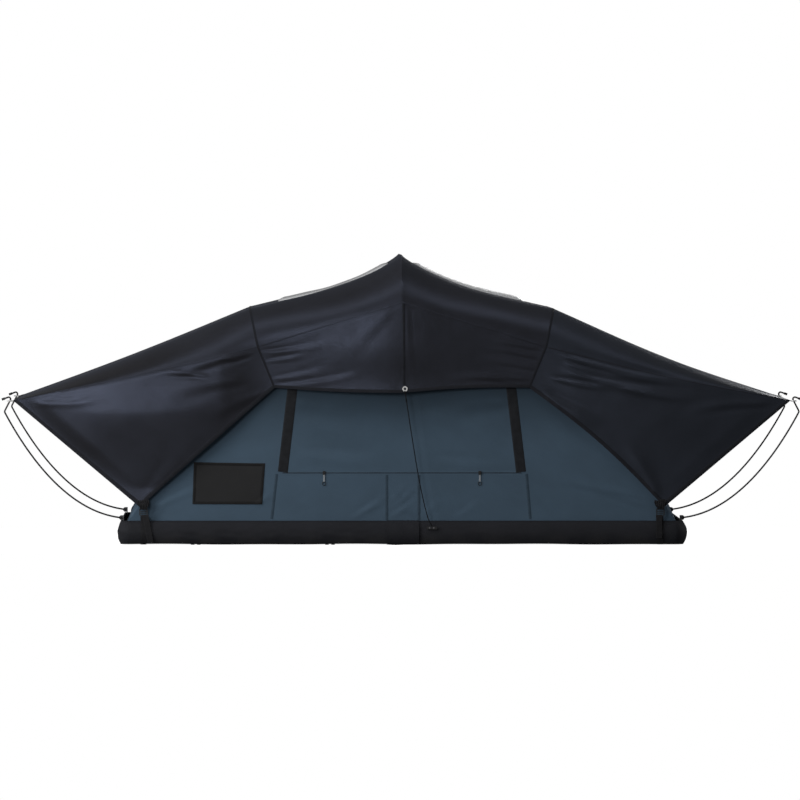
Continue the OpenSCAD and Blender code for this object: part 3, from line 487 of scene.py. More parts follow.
def round_rect(half_x, half_y, r, steps, between=0):
    """Outline of a rectangle with round corners: steps round each, and points between one and the next."""
    arcs = []
    for cx, cy, start in ((1, 1, 0), (-1, 1, 90), (-1, -1, 180), (1, -1, 270)):
        a = np.radians(start + np.linspace(0, 90, steps + 1))
        arcs.append(np.stack([cx * (half_x - r) + r * np.cos(a), cy * (half_y - r) + r * np.sin(a)], 1))
    loop = []
    for arc, after in zip(arcs, arcs[1:] + arcs[:1]):
        t = np.linspace(0, 1, between + 2)[1:-1, None]
        loop += [arc, lerp(arc[-1], after[0], t)]
    return np.concatenate(loop)


def block(low, high, round_r, steps=3):
    """A box with rounded edges along Y: points, faces and flat places."""
    low, high = np.asarray(low, float), np.asarray(high, float)
    middle, half = (low + high) / 2, (high - low) / 2
    ring = round_rect(half[0], half[2], round_r, steps)
    edge = min(round_r, half[1] * 2 / 3) * 0.6
    size = np.linalg.norm(ring, axis=1, keepdims=True)
    points, n = [], len(ring)
    for y, inset in ((low[1], edge), (low[1] + edge, 0), (high[1] - edge, 0), (high[1], edge)):
        points += [(middle[0] + a, y, middle[2] + b) for a, b in ring * (1 - inset / size)]
    walls = [f[::-1] for f in ring_quads(4, n)]
    faces = [list(range(n)), *walls, list(range(4 * n - 1, 3 * n - 1, -1))]
    points = np.array(points)
    return points, faces, points[:, [0, 2]] / 1000


# How pieces move


def folds(piece):
    """Bakes the piece's place into its mesh and reads out its points. The middle hoop goes half as far as the
    right base.
    """
    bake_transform(piece)
    co = np.zeros(len(piece.data.vertices) * 3)
    piece.data.vertices.foreach_get("co", co)
    return piece


def gathers(piece, side):
    """The piece rides on a side hoop, with a mesh of its own."""
    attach(piece, dict(HALVES)[side] + "_bow")
    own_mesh(piece)
    return piece


# Wrinkles


def drift(x, z, size, amount, seed):
    """Slow unevenness: a few crossing waves, the same on every run."""
    draw = np.random.default_rng(seed)
    total = np.zeros_like(x)
    for _ in range(7):
        a, f, s = draw.uniform(0, math.pi), draw.uniform(0.6, 1.7) / size, draw.uniform(0, 6.28)
        total = total + np.sin((x * math.cos(a) + z * math.sin(a)) * 2 * math.pi * f + s)
    return amount * total / 3


def creases(x, z, lines):
    """Folds along lines (x0, z0, x1, z1, width, height): a ridge with a valley beside it, ever wider."""
    total = np.zeros_like(x)
    for x0, z0, x1, z1, width, height in lines:
        dx, dz = x1 - x0, z1 - z0
        length = math.hypot(dx, dz)
        t = ((x - x0) * dx + (z - z0) * dz) / length**2
        d = ((z - z0) * dx - (x - x0) * dz) / length
        d = d + 0.04 * length * np.sin(2.6 * t)
        k = d / (width * (0.5 + 0.7 * np.clip(t, 0, 1)))
        fade = smooth((t + 0.02) / 0.22) * (1 - smooth((t - 0.5) / 0.55))
        total = total + height * fade * (bump(k) - 0.6 * bump((k - 1.5) / 0.9))
    return total


WALL_FOLDS = [
    (-217, 104, -70, 213, 13, 3.4), (-175, 138, -72, 188, 11, 2.6), (-1052, 104, -975, 200, 12, 3),
    (-1075, 150, -820, 260, 15, 3), (-610, 165, -530, 236, 13, 2.6), (-450, 520, -20, 440, 60, 7),
    (-440, 380, -60, 350, 34, 4), (-460, 610, -150, 560, 40, 6), (1060, 138, 626, 271, 15, 4),
    (1060, 150, 740, 262, 13, 3.2), (1052, 182, 826, 230, 12, 2.6), (385, 258, 500, 170, 12, 3),
    (90, 560, 460, 450, 60, 7), (120, 360, 450, 318, 26, 3), (80, 118, 160, 200, 12, 2.6),
    (470, 600, 160, 570, 38, 6), (220, 112, 330, 190, 14, 2.4), (-330, 108, -420, 190, 14, 2.4),
]
GUSSET_FOLDS = [
    (-58, 112, 62, 196, 9, 3), (-50, 250, 40, 128, 10, 3), (60, 240, -10, 160, 8, 2.6),
    (-55, 180, 20, 270, 8, 2.2), (65, 120, 10, 150, 8, 2.2),
]


def wall_out(x, z, side):
    """How far a side wall stands out from its flat solid."""
    flip = -side
    out = 0.85 * creases(x * flip, z, WALL_FOLDS)
    out = out + drift(x, z, 420, 0.5, 11 + side) + drift(x, z, 130, 0.12, 21 + side)
    middle = smooth((72 - np.abs(x - 4)) / 10) * smooth((296 - z) / 20)
    out = out + 1.3 * middle * creases(x * flip, z, GUSSET_FOLDS)
    held = smooth((z - 84) / 40) * (1 - bump((z - ZIP_Z) / 26)) * (1 - 0.7 * smooth((z - 650) / 60))
    return np.clip(out * held, -9, 8)


FLY_FOLDS = [
    (-596, 806, -440, 824, 9, 5), (-590, 796, -290, 850, 15, 7), (-572, 764, -370, 806, 12, 6),
    (-548, 690, -300, 742, 15, 5), (-536, 664, -210, 704, 13, 5), (-430, 676, -150, 726, 14, 4),
    (-30, 985, -230, 790, 30, 4), (606, 826, 400, 880, 13, 6), (596, 812, 310, 850, 14, 7),
    (580, 776, 290, 828, 15, 6), (545, 690, 160, 684, 15, 6), (560, 730, 330, 770, 13, 5),
    (500, 668, 250, 700, 11, 4), (24, 1010, 56, 660, 16, 2.4),
    (-616, 800, -960, 702, 18, 8), (-800, 700, -1015, 716, 11, 7), (-1330, 622, -1470, 600, 12, 5),
    (-668, 768, -800, 776, 10, 4), (-634, 690, -1000, 622, 30, 6), (-1540, 592, -1250, 606, 14, 5),
    (-1560, 590, -1180, 640, 18, 5), (-560, 640, -820, 520, 26, 6), (-1080, 190, -900, 420, 30, 2.5),
    (640, 800, 1290, 664, 20, 8), (670, 762, 1000, 680, 16, 7), (740, 706, 1310, 630, 18, 7),
    (610, 700, 880, 658, 12, 6), (880, 662, 1250, 610, 14, 6), (570, 640, 850, 500, 28, 7),
    (1075, 190, 920, 420, 30, 7), (1560, 588, 1200, 560, 18, 6), (660, 736, 1120, 620, 24, 6),
]


def drop_share(z):
    """0 at the ridge's shoulder, 1 at the fly's lower edge."""
    shoulder = RIDGE_Z - RIDGE_R
    return np.clip((shoulder - z) / (shoulder - EDGE_Z), 0, 1)


def fly_out(x, z, side):
    """How far the fly's side stands out: folds from its corners, and wings that bend from corner to tip."""
    flip = -side
    # The sheet is drawn tighter between the hoops than on the wings, so its folds are shallower there
    depth = lerp(0.28, np.where(x * flip < 0, 0.5, 1.0), smooth((np.abs(x) - 570) / 90))
    out = depth * creases(x * flip, z, FLY_FOLDS)
    out = out + drift(x, z, 360, 0.7, 31 + side) + drift(x, z, 110, 0.15, 41 + side)
    # The middle hoop draws the sides out to a rounded ridge; the sheet hollows between the hoops
    reach = -CORNER[0]
    away = np.sqrt((x + 50) ** 2 + 70**2) - 70
    away = least(away * np.where(x < -50, reach / 415, reach / 514), reach)
    out = out + EAVE * drop_share(z) * (least(np.abs(x), reach) - away) / reach
    out = out + 21 * smooth((z - 655) / 190) * (reach - away) / reach
    out = out - 3 * bump((np.abs(x) - 330) / 150) * smooth((z - 650) / 90)
    out = out * (1 - bump(np.hypot(x - EYELET[0], z - EYELET[1]) / 30))
    # Along a wing, t runs from the corner to the tip
    t = np.clip((np.abs(x) - reach) / (-TIP[0] - reach), 0, 1)
    line = lerp(CORNER[1], TIP[1], t) - 72 * np.sin(np.pi * t)
    soft = 7 + 26 * (1 - t)
    off = np.sqrt((z - line) ** 2 + soft**2) - soft
    ridge = np.clip(1 - off / np.where(z > line, 560, 300), 0, 1)
    out = out + np.where(x * flip < 0, 46, 12) * np.sin(np.pi * t) ** 0.8 * smooth(t / 0.22) * ridge
    return np.clip(out, -13, 50)


def eave_out(x, z):
    """How far the tension cords draw the fly's side out, most at the middle of its lower edge."""
    return EAVE * np.clip(1 + np.abs(x) / CORNER[0], 0, 1) * drop_share(z)


def fly_rise(x, y):
    """Small slack waves of the fly's top, running between the hoops."""
    slack = np.sin(np.pi * np.clip(np.abs(x) / 620, 0, 1))
    return drift(x, y, 520, 2.2, 51) * slack + 2.0 * slack * np.sin(y / 47 + 0.004 * x)


# Sections of the fly and the canvas, as the solids have them but finer


FLY_STEPS = (44, 18, 56)  # Points down a side, round a shoulder and over the top


def section(top, shoulder, edge, width, radius, edge_y):
    """One cross-section: side edge, shoulder, arc and top, and the same on the far side."""
    drop, arc, flat = FLY_STEPS
    foot, head = np.array([edge[0], edge_y, edge[1]]), np.array([shoulder[0], width, shoulder[1]])
    side = lerp(foot, head, np.linspace(0, 1, drop, endpoint=False)[:, None])
    a = np.radians(np.linspace(90, 0, arc + 1))
    h = 1 - np.cos(a)
    reach = width - radius
    x, z = lerp(top[0], shoulder[0], h), lerp(top[1], shoulder[1], h)
    far = np.concatenate([side, np.stack([x, reach + radius * np.sin(a), z], 1)])
    k = np.linspace(0, 1, flat + 1)[1:-1]
    middle = np.stack([0 * k + top[0], lerp(-reach, reach, k), 0 * k + top[1]], 1)
    return np.concatenate([far * [1, -1, 1], middle, far[::-1]])


def sag(v):
    """Sag of a sheet between two hoops: 0 at both, deepest towards the ridge."""
    return np.sin(np.pi * np.clip(v, 0, 1) ** 1.5) ** 0.7 if 0 < v < 1 else 0.0


def dressed(p):
    """The fly's folds laid on a grid of sections: sides move along Y, the top along Z."""
    drop, arc, _ = FLY_STEPS
    x, y, z = np.moveaxis(p, -1, 0)
    j = np.arange(p.shape[1])
    inward = np.minimum(j, len(j) - 1 - j)
    side = 1 - smooth((inward - drop + 2) / (arc * 0.6))
    out = np.where(y < 0, fly_out(x, z, NEAR), fly_out(x, z, FAR))
    return np.stack([x, y + np.sign(y) * out * side, z + fly_rise(x, y) * (1 - side)], -1)


def fly_half(stations, side):
    """Sections from the side hoop's seam up to the ridge."""
    rows = []
    for v in stations:
        top = lerp(SEAM, np.array([0, RIDGE_Z]), v) - [0, 40 * sag(v)]
        edge = lerp(CORNER, np.array([0, EDGE_Z]), v)
        # The lower edge hangs in a shallow curve, a little higher to the right
        edge = edge + [0, (-6 if side == LEFT else 9) * math.sin(math.pi * v)]
        shoulder = lerp(SHOULDER, np.array([0, RIDGE_Z - RIDGE_R]), v)
        rows.append(section(top, shoulder, edge, FLY_Y, lerp(SEAM_R, RIDGE_R, v), FLY_Y + EAVE * v))
    return np.array(rows) * [-side, 1, 1]


def awning_half(stations, side):
    """Sections from the seam out to the tip, with a wing on each side down to the corner tie."""
    rows = []
    for u in stations:
        apart = np.array([-0.4 * (1 - u), 0])
        hollow = (2 if side == LEFT else 24) * math.sin(math.pi * u) * np.array([-0.6, 0.7])
        slack = np.array([0, -(9 if side == LEFT else 22) * math.sin(math.pi * u) ** 1.2])
        top, shoulder = lerp(SEAM, TIP, u) + apart + slack, lerp(SHOULDER, TIP, u) + apart + slack * 0.6
        edge = lerp(CORNER, TIE, u) + hollow + apart
        width, edge_y = lerp(FLY_Y, TIP_Y, u), lerp(FLY_Y, TIE_Y, u)
        rows.append(section(top, shoulder, edge, width, SEAM_R - 10 * u, edge_y))
    return np.array(rows) * [-side, 1, 1]


def arch(width, radius, arc=12, flat=40):
    """A hoop's outline from one shoulder over the top to the other: place across and drop."""
    a = np.radians(np.linspace(90, 0, arc + 1))
    first = np.stack([-(width - radius) - radius * np.sin(a), radius * (1 - np.cos(a))], 1)
    k = np.linspace(0, 1, flat + 1)[1:-1]
    middle = np.stack([lerp(-(width - radius), width - radius, k), 0 * k], 1)
    return np.concatenate([first, middle, (first * [-1, 1])[::-1]])


def bow_arch(width, stand, side):
    """The canvas over a leaning side hoop, stand outside it."""
    d = arch(width, CANVAS_R)
    reach = CANVAS_S - d[:, 1]
    x, z = LEAN_X * reach - LEAN_Z * stand, AXIS_Z + LEAN_Z * reach + LEAN_X * stand
    return np.stack([x * -side, d[:, 0], z], 1)


def hem_of(p, width):
    """A band along the first row of a grid, standing proud of it."""
    step = np.linalg.norm(np.diff(p, axis=0), axis=2)
    run = np.concatenate([np.zeros((1, p.shape[1])), np.cumsum(step, 0)])
    n = grid_normals(p)
    shape = [(0, 0.4), (1.5, HEM_RISE), (width / 2, HEM_RISE), (width - 1.5, HEM_RISE), (width, 0.4)]
    out = np.zeros((p.shape[1], len(shape), 3))
    for j, k, c in np.ndindex(out.shape):
        d, h = shape[k]
        out[j, k, c] = np.interp(d, run[:, j], p[:, j, c]) + h * np.interp(d, run[:, j], n[:, j, c])
    return out


def band_on(place, side, path, width, proud, pitch=9, thin=0.25, steps=5):
    """A flat band that follows a path on a surface; place puts points there, and its edges lie thin."""
    _, u, v = even_steps(path, pitch)
    du, dv = np.gradient(u), np.gradient(v)
    size = np.hypot(du, dv)
    across = np.linspace(-0.5, 0.5, steps) * width
    edge = np.where(np.abs(across) > width / 2 - 0.6, thin, 1.0)
    gu, gv = u[:, None] - (dv / size)[:, None] * across, v[:, None] + (du / size)[:, None] * across
    return place(gu, gv, side, proud * edge[None, :])


# The rain fly: one continuous sheet over the three hoops

stations = np.concatenate([np.linspace(0, 0.3, 44), np.linspace(0.3, 0.86, 44)[1:],
                           np.linspace(0.86, 1, 14)[1:]])
fly = dressed(np.concatenate([fly_half(stations, LEFT), fly_half(stations, RIGHT)[-2::-1]]))
middle = (fly[1:, 1:] + fly[:-1, :-1]) / 2
hole = np.abs(np.abs(middle[..., 0]) + SKYLIGHT_X) < SKYLIGHT_L / 2 - 26
hole &= (np.abs(middle[..., 1]) < SKYLIGHT_W / 2 - 26) & (middle[..., 2] > 900)
fly_piece = shell("fly_roof", fly, FLY_T, FLY, keep=~hole)
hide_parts("fly_left", "fly_right")
folds(fly_piece)
for name, band in (("near", fly), ("far", fly[:, ::-1])):
    folds(shell("fly_hem_" + name, hem_of(band.transpose(1, 0, 2), 14), HEM_T, HEM))

# Radius and height round the rolled ring at an awning's tip
TIP_RING = [(9.5, -4.2), (12.5, -3.6), (13, -2.5), (13, -0.6), (12, 0.4),
            (9.5, 1), (6.8, 0.4), (6, -0.8), (6, -2.6), (6.8, -3.8)]
reach = np.concatenate([np.linspace(0, 0.2, 26), np.linspace(0.2, 1, 72)[1:]])
awnings = {}
for side, word in HALVES:
    # Nothing bulges at the tip, which the rods hold straight
    rest = awning_half(reach, side)
    p = awnings[side] = lerp(rest, dressed(rest), (1 - smooth((reach - 0.9) / 0.1))[:, None, None])
    # The right awning takes the lighter copy of the fly's cloth, which is painted light
    piece = shell(word + "_awning_cloth", p, FLY_T, FLY if side == LEFT else LIT_AWNING)
    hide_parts(word + "_awning")
    gathers(piece, side)
    for name, band in (("near", p), ("far", p[:, ::-1])):
        hem = hem_of(band.transpose(1, 0, 2), 16)
        gathers(shell(f"{word}_wing_hem_{name}", hem, HEM_T, HEM), side)
    gathers(shell(word + "_tip_hem", hem_of(p[::-1], 18), HEM_T, HEM), side)
    # The ring takes the rod's hook, and rides on the hoop with the cloth
    rings = [turned(TIP_RING, (GROMMET_X * -side, s * ROD_Y[side], TIP[1])) for s in (NEAR, FAR)]
    ring = new_piece(word + "_tip_rings", *join(rings), NICKEL)
    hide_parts(word + "_tip_grommets")
    gathers(ring, side)
    # A tape over the line where the roof and the awning meet
    one, two = hem_of(fly if side == LEFT else fly[::-1], 4.5), hem_of(p, 4.5)
    seam = np.concatenate([one[:, :0:-1], two[:, 1:]], 1)
    folds(shell(word + "_hoop_seam", seam, HEM_T, TAPE))


# Skylights: a clear film that bellies up a little over each hole, with a welded border


def fly_height(x):
    """Height of the fly's top, read from its middle line of sections."""
    line = fly[:, fly.shape[1] // 2]
    order = np.argsort(line[:, 0])
    return np.interp(x, line[order, 0], line[order, 2])


def pane_share(x, y):
    """0 at the edge of a skylight, 1 inside; x runs from its middle."""
    return smooth((SKYLIGHT_L / 2 - np.abs(x)) / 22) * smooth((SKYLIGHT_W / 2 - np.abs(y)) / 40)


for side, word in HALVES:
    centre = -side * SKYLIGHT_X
    belly = 7 if side == LEFT else 10
    gx, gy = np.linspace(-0.5, 0.5, 46) * SKYLIGHT_L, np.linspace(-0.5, 0.5, 70) * SKYLIGHT_W
    dx, y = np.meshgrid(gx, gy, indexing="ij")
    x = centre + dx
    z = fly_height(x) + 2.6 + (belly + drift(x, y, 240, 1.2, 61 + side)) * pane_share(dx, y)
    film = np.stack([x, y, z], -1)
    pane = shell(word + "_skylight_film", film, 1.0, FILM)
    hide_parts(word + "_skylight")
    folds(pane)
    # The border: a ring with round corners, laid over the film's edge
    half_x, half_y = SKYLIGHT_L / 2 + 4, SKYLIGHT_W / 2 + 4
    ring = []
    for inset, lift in ((0, 1.0), (4, 4.2), (17, 4.4), (30, 4.4), (34, 3.4)):
        loop = round_rect(half_x - inset, half_y - inset, max(34 - inset, 8), 6, 16)
        dx, y = np.concatenate([loop, loop[:1]]).T
        z = fly_height(centre + dx) + lift + belly * pane_share(dx, y)
        ring.append(np.stack([centre + dx, y, z], 1))
    folds(shell(word + "_skylight_border", np.stack(ring, 1), 1.0, FILM))


# The canvas body

END_FOOT = np.array([-1158, 75.3])
END_TOP = np.array([LEAN_X * CANVAS_S - LEAN_Z * 6, AXIS_Z + LEAN_Z * CANVAS_S + LEAN_X * 6])
END_L = np.linalg.norm(END_TOP - END_FOOT)
END_SLOPE = (END_TOP - END_FOOT) / END_L
END_LIFT = np.array([-END_SLOPE[1], END_SLOPE[0]])
END_BULGE = 32
WALL_FOOT_X, WALL_FOOT_Z = 1174, 55
WINDOW_TOP, WINDOW_FOOT, ZIP_END = (455, 664), (497, 304), 500


def wall_place(x, z, side, proud=0.0):
    """Points on a side wall's outer face, or proud of it."""
    x, z = np.broadcast_arrays(np.asarray(x, float), np.asarray(z, float))
    y = side * (WALL_Y + wall_out(x, z, side) + proud)
    return np.stack([x, y, z], -1)


def wall_grid(side, cols=150, rows=84):
    """A side wall from its foot to the hoops' shoulders."""
    u = np.linspace(-1, 1, cols)
    v = np.linspace(0, 1, rows) ** 1.1
    foot = np.stack([WALL_FOOT_X * u, 0 * u + WALL_FOOT_Z], 1)
    shoulder = np.array([-LEAN_X * (CANVAS_S - CANVAS_R), AXIS_Z + LEAN_Z * (CANVAS_S - CANVAS_R)])
    peak = CANVAS_RIDGE - CANVAS_R
    head = np.stack([shoulder[0] * u, lerp(peak, shoulder[1], np.abs(u)) - 0.4], 1)
    p = lerp(foot[None], head[None], v[:, None, None])
    push = END_BULGE * np.sin(np.pi * v)[:, None] * np.abs(u) ** 5
    x, z = p[..., 0] - END_LIFT[0] * np.sign(u) * push, p[..., 1] + END_LIFT[1] * push
    return wall_place(x, z, side)


# Ends (x, z) of the seams below the window
SEAMS = [
    [(-522, 296), (-543, 108)], [(520, 296), (536, 108)], [(-63, 292), (-63, 104)], [(71, 292), (71, 104)],
]
for side, word in FLANKS:
    p = wall_grid(side)
    wall = shell(word + "_wall", p, CANVAS_T, CANVAS)
    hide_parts(word + "_wall_left", word + "_wall_right")
    folds(wall)
    for k, seam in enumerate(SEAMS):
        path = np.array(seam) * [-side, 1]
        folds(shell(f"{word}_wall_seam_{k + 1}", band_on(wall_place, side, path, 12, 0.9), 0.7, FELL))
    # The window: a dark guard over each upright zip, and the zip along its foot
    for half, place in HALVES:
        path = np.array([WINDOW_TOP, WINDOW_FOOT]) * [half, 1]
        guard = band_on(wall_place, side, path, 42, 1.6, steps=9)
        piece = shell(f"{word}_{place}_guard", guard, 1.0, GUARD)
        if side == NEAR:
            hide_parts(place + "_zip_guards")
        folds(piece)
    tape = band_on(wall_place, side, [(-ZIP_END, ZIP_Z), (ZIP_END, ZIP_Z)], 20, 0.35)
    folds(shell(word + "_zip_tape", tape, 0.3, CANVAS))
    teeth = band_on(wall_place, side, [(2 - ZIP_END, ZIP_Z), (ZIP_END - 2, ZIP_Z)], 4.5, 0.6)
    folds(shell(word + "_zip_coil", teeth, 0.4, COIL))

# The plain black patch on the near side's left corner, sewn on a little out of square
upper, lower = np.array([(-868, 345), (-571, 340)], float), np.array([(-874, 170), (-583, 169)], float)
u, v = np.linspace(0, 1, 34)[None, :, None], np.linspace(0, 1, 22)[:, None, None]
p = lerp(lerp(upper[0], upper[1], u), lerp(lower[0], lower[1], u), v)
patch = wall_place(p[..., 0], p[..., 1], NEAR, 1.8)
patch_piece = folds(shell("bare_patch", patch, 1.4, PATCH))
loop = np.concatenate([p[0], p[1:, -1], p[-1, -2::-1], p[-2::-1, 0]])
centre = loop[:-1].mean(0)
rings = [centre + (loop - centre) * (1 - np.array([d / 150, d / 88])) for d in (0, 1.5, 6, 10.5, 12)]
band, lift = np.stack(rings, 1), np.array([1.9, 2.7, 2.7, 2.7, 1.9])
folds(shell("bare_patch_border", wall_place(band[..., 0], band[..., 1], NEAR, lift), 0.8, BORDER))

# The canvas roof, hung over the hoops below the fly
rows = []
for side, run in ((LEFT, np.linspace(0, 1, 30)), (RIGHT, np.linspace(1, 0, 30)[1:])):
    a = bow_arch(WALL_Y, 0, side)
    d = arch(WALL_Y, CANVAS_R)
    b = np.stack([0 * d[:, 0], d[:, 0], CANVAS_RIDGE - d[:, 1]], 1)
    for v in run:
        q = lerp(a, b, v)
        loose = 1 - d[:, 1] / CANVAS_R
        q[:, 2] -= 58 * sag(v) * loose
        q[:, 2] += drift(q[:, 0], q[:, 1], 300, 1.5, 71) * loose * math.sin(math.pi * v)
        rows.append(q)
roof = np.array(rows)
roof_piece = shell("canvas_roof", roof, CANVAS_T, LINING)
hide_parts("roof_left", "roof_right")
folds(roof_piece)

# End walls, each with a zipped door
END_FOLDS = [
    (-800, 90, -560, 420, 26, 6), (800, 90, 560, 420, 26, 6), (-880, 420, -620, 640, 22, 5),
    (880, 420, 620, 640, 22, 5), (-300, 60, 220, 110, 18, 4), (-420, 300, 380, 340, 40, 6),
    (-380, 560, 300, 520, 36, 6), (120, 700, 480, 420, 24, 5), (-140, 700, -470, 430, 24, 5),
]


def end_out(y, s, side):
    """How far an end wall stands out from its slope; s is the distance up it."""
    out = creases(y, s, END_FOLDS) + drift(y, s, 380, 2.0, 81 + side)
    return np.clip(out * smooth((s - 12) / 70) * smooth((1010 - s) / 60), -8, 8)


def end_place(y, s, side, proud=0.0):
    """Points on the flat middle of an end wall."""
    out = end_out(y, s, side) + END_BULGE * np.sin(np.pi * s / END_L) + proud
    x = END_FOOT[0] + END_SLOPE[0] * s + END_LIFT[0] * out
    z = END_FOOT[1] + END_SLOPE[1] * s + END_LIFT[1] * out
    return np.stack([x * -side, y, z], -1)


DOOR_W, DOOR_H, SILL, DOOR_R = 980, 720, 70, 140


def door_half(h):
    """Half the door's width at a height above its sill."""
    over = np.clip(h - (DOOR_H - DOOR_R), 0, DOOR_R)
    return DOOR_W / 2 - DOOR_R + np.sqrt(np.maximum(DOOR_R**2 - over**2, 0))


for side, word in HALVES:
    top = bow_arch(WALL_Y - 4, 6, side)
    foot = np.zeros_like(top) + [END_FOOT[0] * -side, 0, END_FOOT[1]]
    foot[:, 1] = top[:, 1] / (WALL_Y - 4) * (HALF_W - 1)
    v = np.linspace(0, 1, 56)[:, None, None]
    p = lerp(foot, top, v)
    y, s = p[..., 1], END_L * v[..., 0] + 0 * p[..., 1]
    out = end_out(y, s, side) * (1 - smooth((np.abs(y) - 760) / 130))
    out = out + END_BULGE * np.sin(np.pi * s / END_L)
    p = p + out[..., None] * np.array([END_LIFT[0] * -side, 0, END_LIFT[1]])
    wall = shell(word + "_end_cloth", p, CANVAS_T, CANVAS)
    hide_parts(word + "_end_wall")
    folds(wall)
    # The door's panel, the zip round it and the band along its sill
    straight, quarter = DOOR_H - DOOR_R, np.linspace(0, math.pi / 2, 16)[1:]
    h = np.concatenate([np.linspace(0, straight, 34), straight + DOOR_R * np.sin(quarter)])
    y = door_half(h)[:, None] * np.linspace(-1, 1, 44)
    panel = end_place(y, SILL + h[:, None] + 0 * y, side, 1.5)
    door = shell(word + "_door_cloth", panel, 1.1, DOOR)
    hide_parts(word + "_door")
    folds(door)
    half, a = DOOR_W / 2, np.linspace(0, math.pi / 2, 12)
    turn = np.stack([DOOR_R - half - DOOR_R * np.cos(a), SILL + straight + DOOR_R * np.sin(a)], 1)
    path = np.concatenate([[(-half, SILL)], turn, turn[::-1] * [-1, 1], [(half, SILL)]])
    sill = [(-half - 15, SILL), (half + 15, SILL)]
    for name, line, width, proud, thick, look in (
        ("_door_zip_tape", path, 30, 2.6, 0.6, FELL),
        ("_door_zip_coil", path, 7, 3.6, 0.8, COIL),
        ("_door_sill", sill, 34, 3.0, 0.8, FELL),
    ):
        folds(shell(word + name, band_on(end_place, side, line, width, proud, 10, 0.3), thick, look))


# Skirts: a coated band that bellies out round the base, its lower edge hanging free

SKIRT_H, SKIRT_IN, SKIRT_BELLY, SKIRT_R = 101, 12, 28, 20
# Each flap's ends along the tent, the height of its lower edge and how far it stands proud
FLAPS = ((-64, 6, 0.6, 3.2), (2, 72, 4.0, 5.6))


def skirt_path(side):
    """Stations round three sides of a half: place and outward direction."""
    r = SKIRT_R
    stops = [((-1 - k, HALF_W), (0, 1)) for k in np.linspace(0, HALF_L - r - 1, 70)]
    for k in np.linspace(0, 90, 9)[1:]:
        sin, cos = math.sin(math.radians(k)), math.cos(math.radians(k))
        stops.append(((-HALF_L + r - r * sin, HALF_W - r + r * cos), (-sin, cos)))
    stops += [((-HALF_L, y), (-1, 0)) for y in np.linspace(HALF_W - r, 0, 55)[1:]]
    stops = np.array(stops)
    other = stops[-2::-1] * [1, -1]
    return np.concatenate([stops, other]) * [-side, 1]


def skirt_shape(z, flat=0.45):
    """How far the skirt stands out from the base at a height; a small flat fills it out to a tube."""
    return SKIRT_IN + SKIRT_BELLY * np.sin(np.pi * np.clip(z, 0, SKIRT_H) / SKIRT_H) ** flat


for side, word in HALVES:
    stops = skirt_path(side)
    run = run_of(stops[:, 0])
    t = np.linspace(0, 1, 20)
    low = 3 + 1.2 * np.sin(run / 143 + side) + 0.8 * np.sin(run / 61)
    z = lerp(low[:, None], 100.5, t[None, :])
    swell = 1 + 0.05 * np.sin(run / 97 + 1)[:, None] + 0.03 * np.sin(run / 31)[:, None] * (1 - t)[None, :]
    # The ends bulge less than the long sides
    end = smooth(np.abs(stops[:, 1, 0]) * 1.2)[:, None]
    swell = swell * (1 - (0.5 if side == LEFT else 0.35) * end)
    n = SKIRT_IN + (skirt_shape(z, lerp(0.45, 0.9, end)) - SKIRT_IN) * swell
    n = n + drift(run[:, None] + 0 * z, z * 2, 90, 0.8, 91 + side) * np.sin(np.pi * t)[None, :]
    # The lip turns in over the top to the canvas
    n = np.concatenate([n, np.zeros((len(run), 3)) + [9.0, 6.8, 4.6]], 1)
    z = np.concatenate([z, np.zeros((len(run), 3)) + [101.0, 101.0, 100.4]], 1)
    p = np.concatenate([stops[:, 0][:, None] + stops[:, 1][:, None] * n[..., None], z[..., None]], -1)
    piece = shell(word + "_skirt_cloth", p, 2.2, SKIRT, (side * 500, 0, 60))
    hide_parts(word + "_skirt")
    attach(piece, word + "_base")

# Flaps of the skirt that bridge the fold line, hanging a little lower
for side, word in FLANKS:
    for k, (x0, x1, low, proud) in enumerate(FLAPS):
        x, t = np.linspace(x0, x1, 22)[:, None], np.linspace(0, 1, 22)[None, :]
        z = lerp(low + 1.2 * np.sin(x / 15), 102.5, t)
        n = skirt_shape(z) + proud + 0.8 * np.sin(x / 12 + 5 * t) * np.sin(np.pi * t)
        p = np.stack([(x + 0 * t) * -side, side * (HALF_W + n), z], -1)
        piece = folds(shell(f"{word}_skirt_flap_{k + 1}", p, 1.8, SKIRT, (0, 0, 60)))


# Vertical tape where the middle hoop's sleeve is sewn to the fly, and the shoulder seams


def fly_place(x, z, side, proud):
    """Points on the fly's upright side, or proud of it."""
    return np.stack([x, side * (FLY_Y + eave_out(x, z) + fly_out(x, z, side) + proud), z], -1)


def along_column(p, j, width=5, height=0.7):
    """A narrow band along one column of a grid."""
    n = grid_normals(p)[:, j]
    a, b = p[:, j + 1] - p[:, j], p[:, j] - p[:, j - 1]
    out = []
    for d, h in ((-0.5, 0.3), (-0.35, height), (0, height * 1.15), (0.35, height), (0.5, 0.3)):
        step = a if d > 0 else b
        out.append(p[:, j] + step / np.linalg.norm(step, axis=1, keepdims=True) * d * width + n * h)
    return np.stack(out, 1)


for side, word in FLANKS:
    sleeve = band_on(fly_place, side, [(7, 1008), (9, 668)], 11, 0.8, pitch=8)
    folds(shell(word + "_sleeve_tape", sleeve, SEAM_T, TAPE))
    j = FLY_STEPS[0] if side == NEAR else fly.shape[1] - 1 - FLY_STEPS[0]
    folds(shell(word + "_shoulder_seam", along_column(fly, j), SEAM_T, FLY))
    for half, place in HALVES:
        band = along_column(awnings[half][:-2], j)
        gathers(shell(f"{word}_{place}_shoulder_seam", band, SEAM_T, FLY), half)


# Awning rods: smooth sprung rods with hooked tips

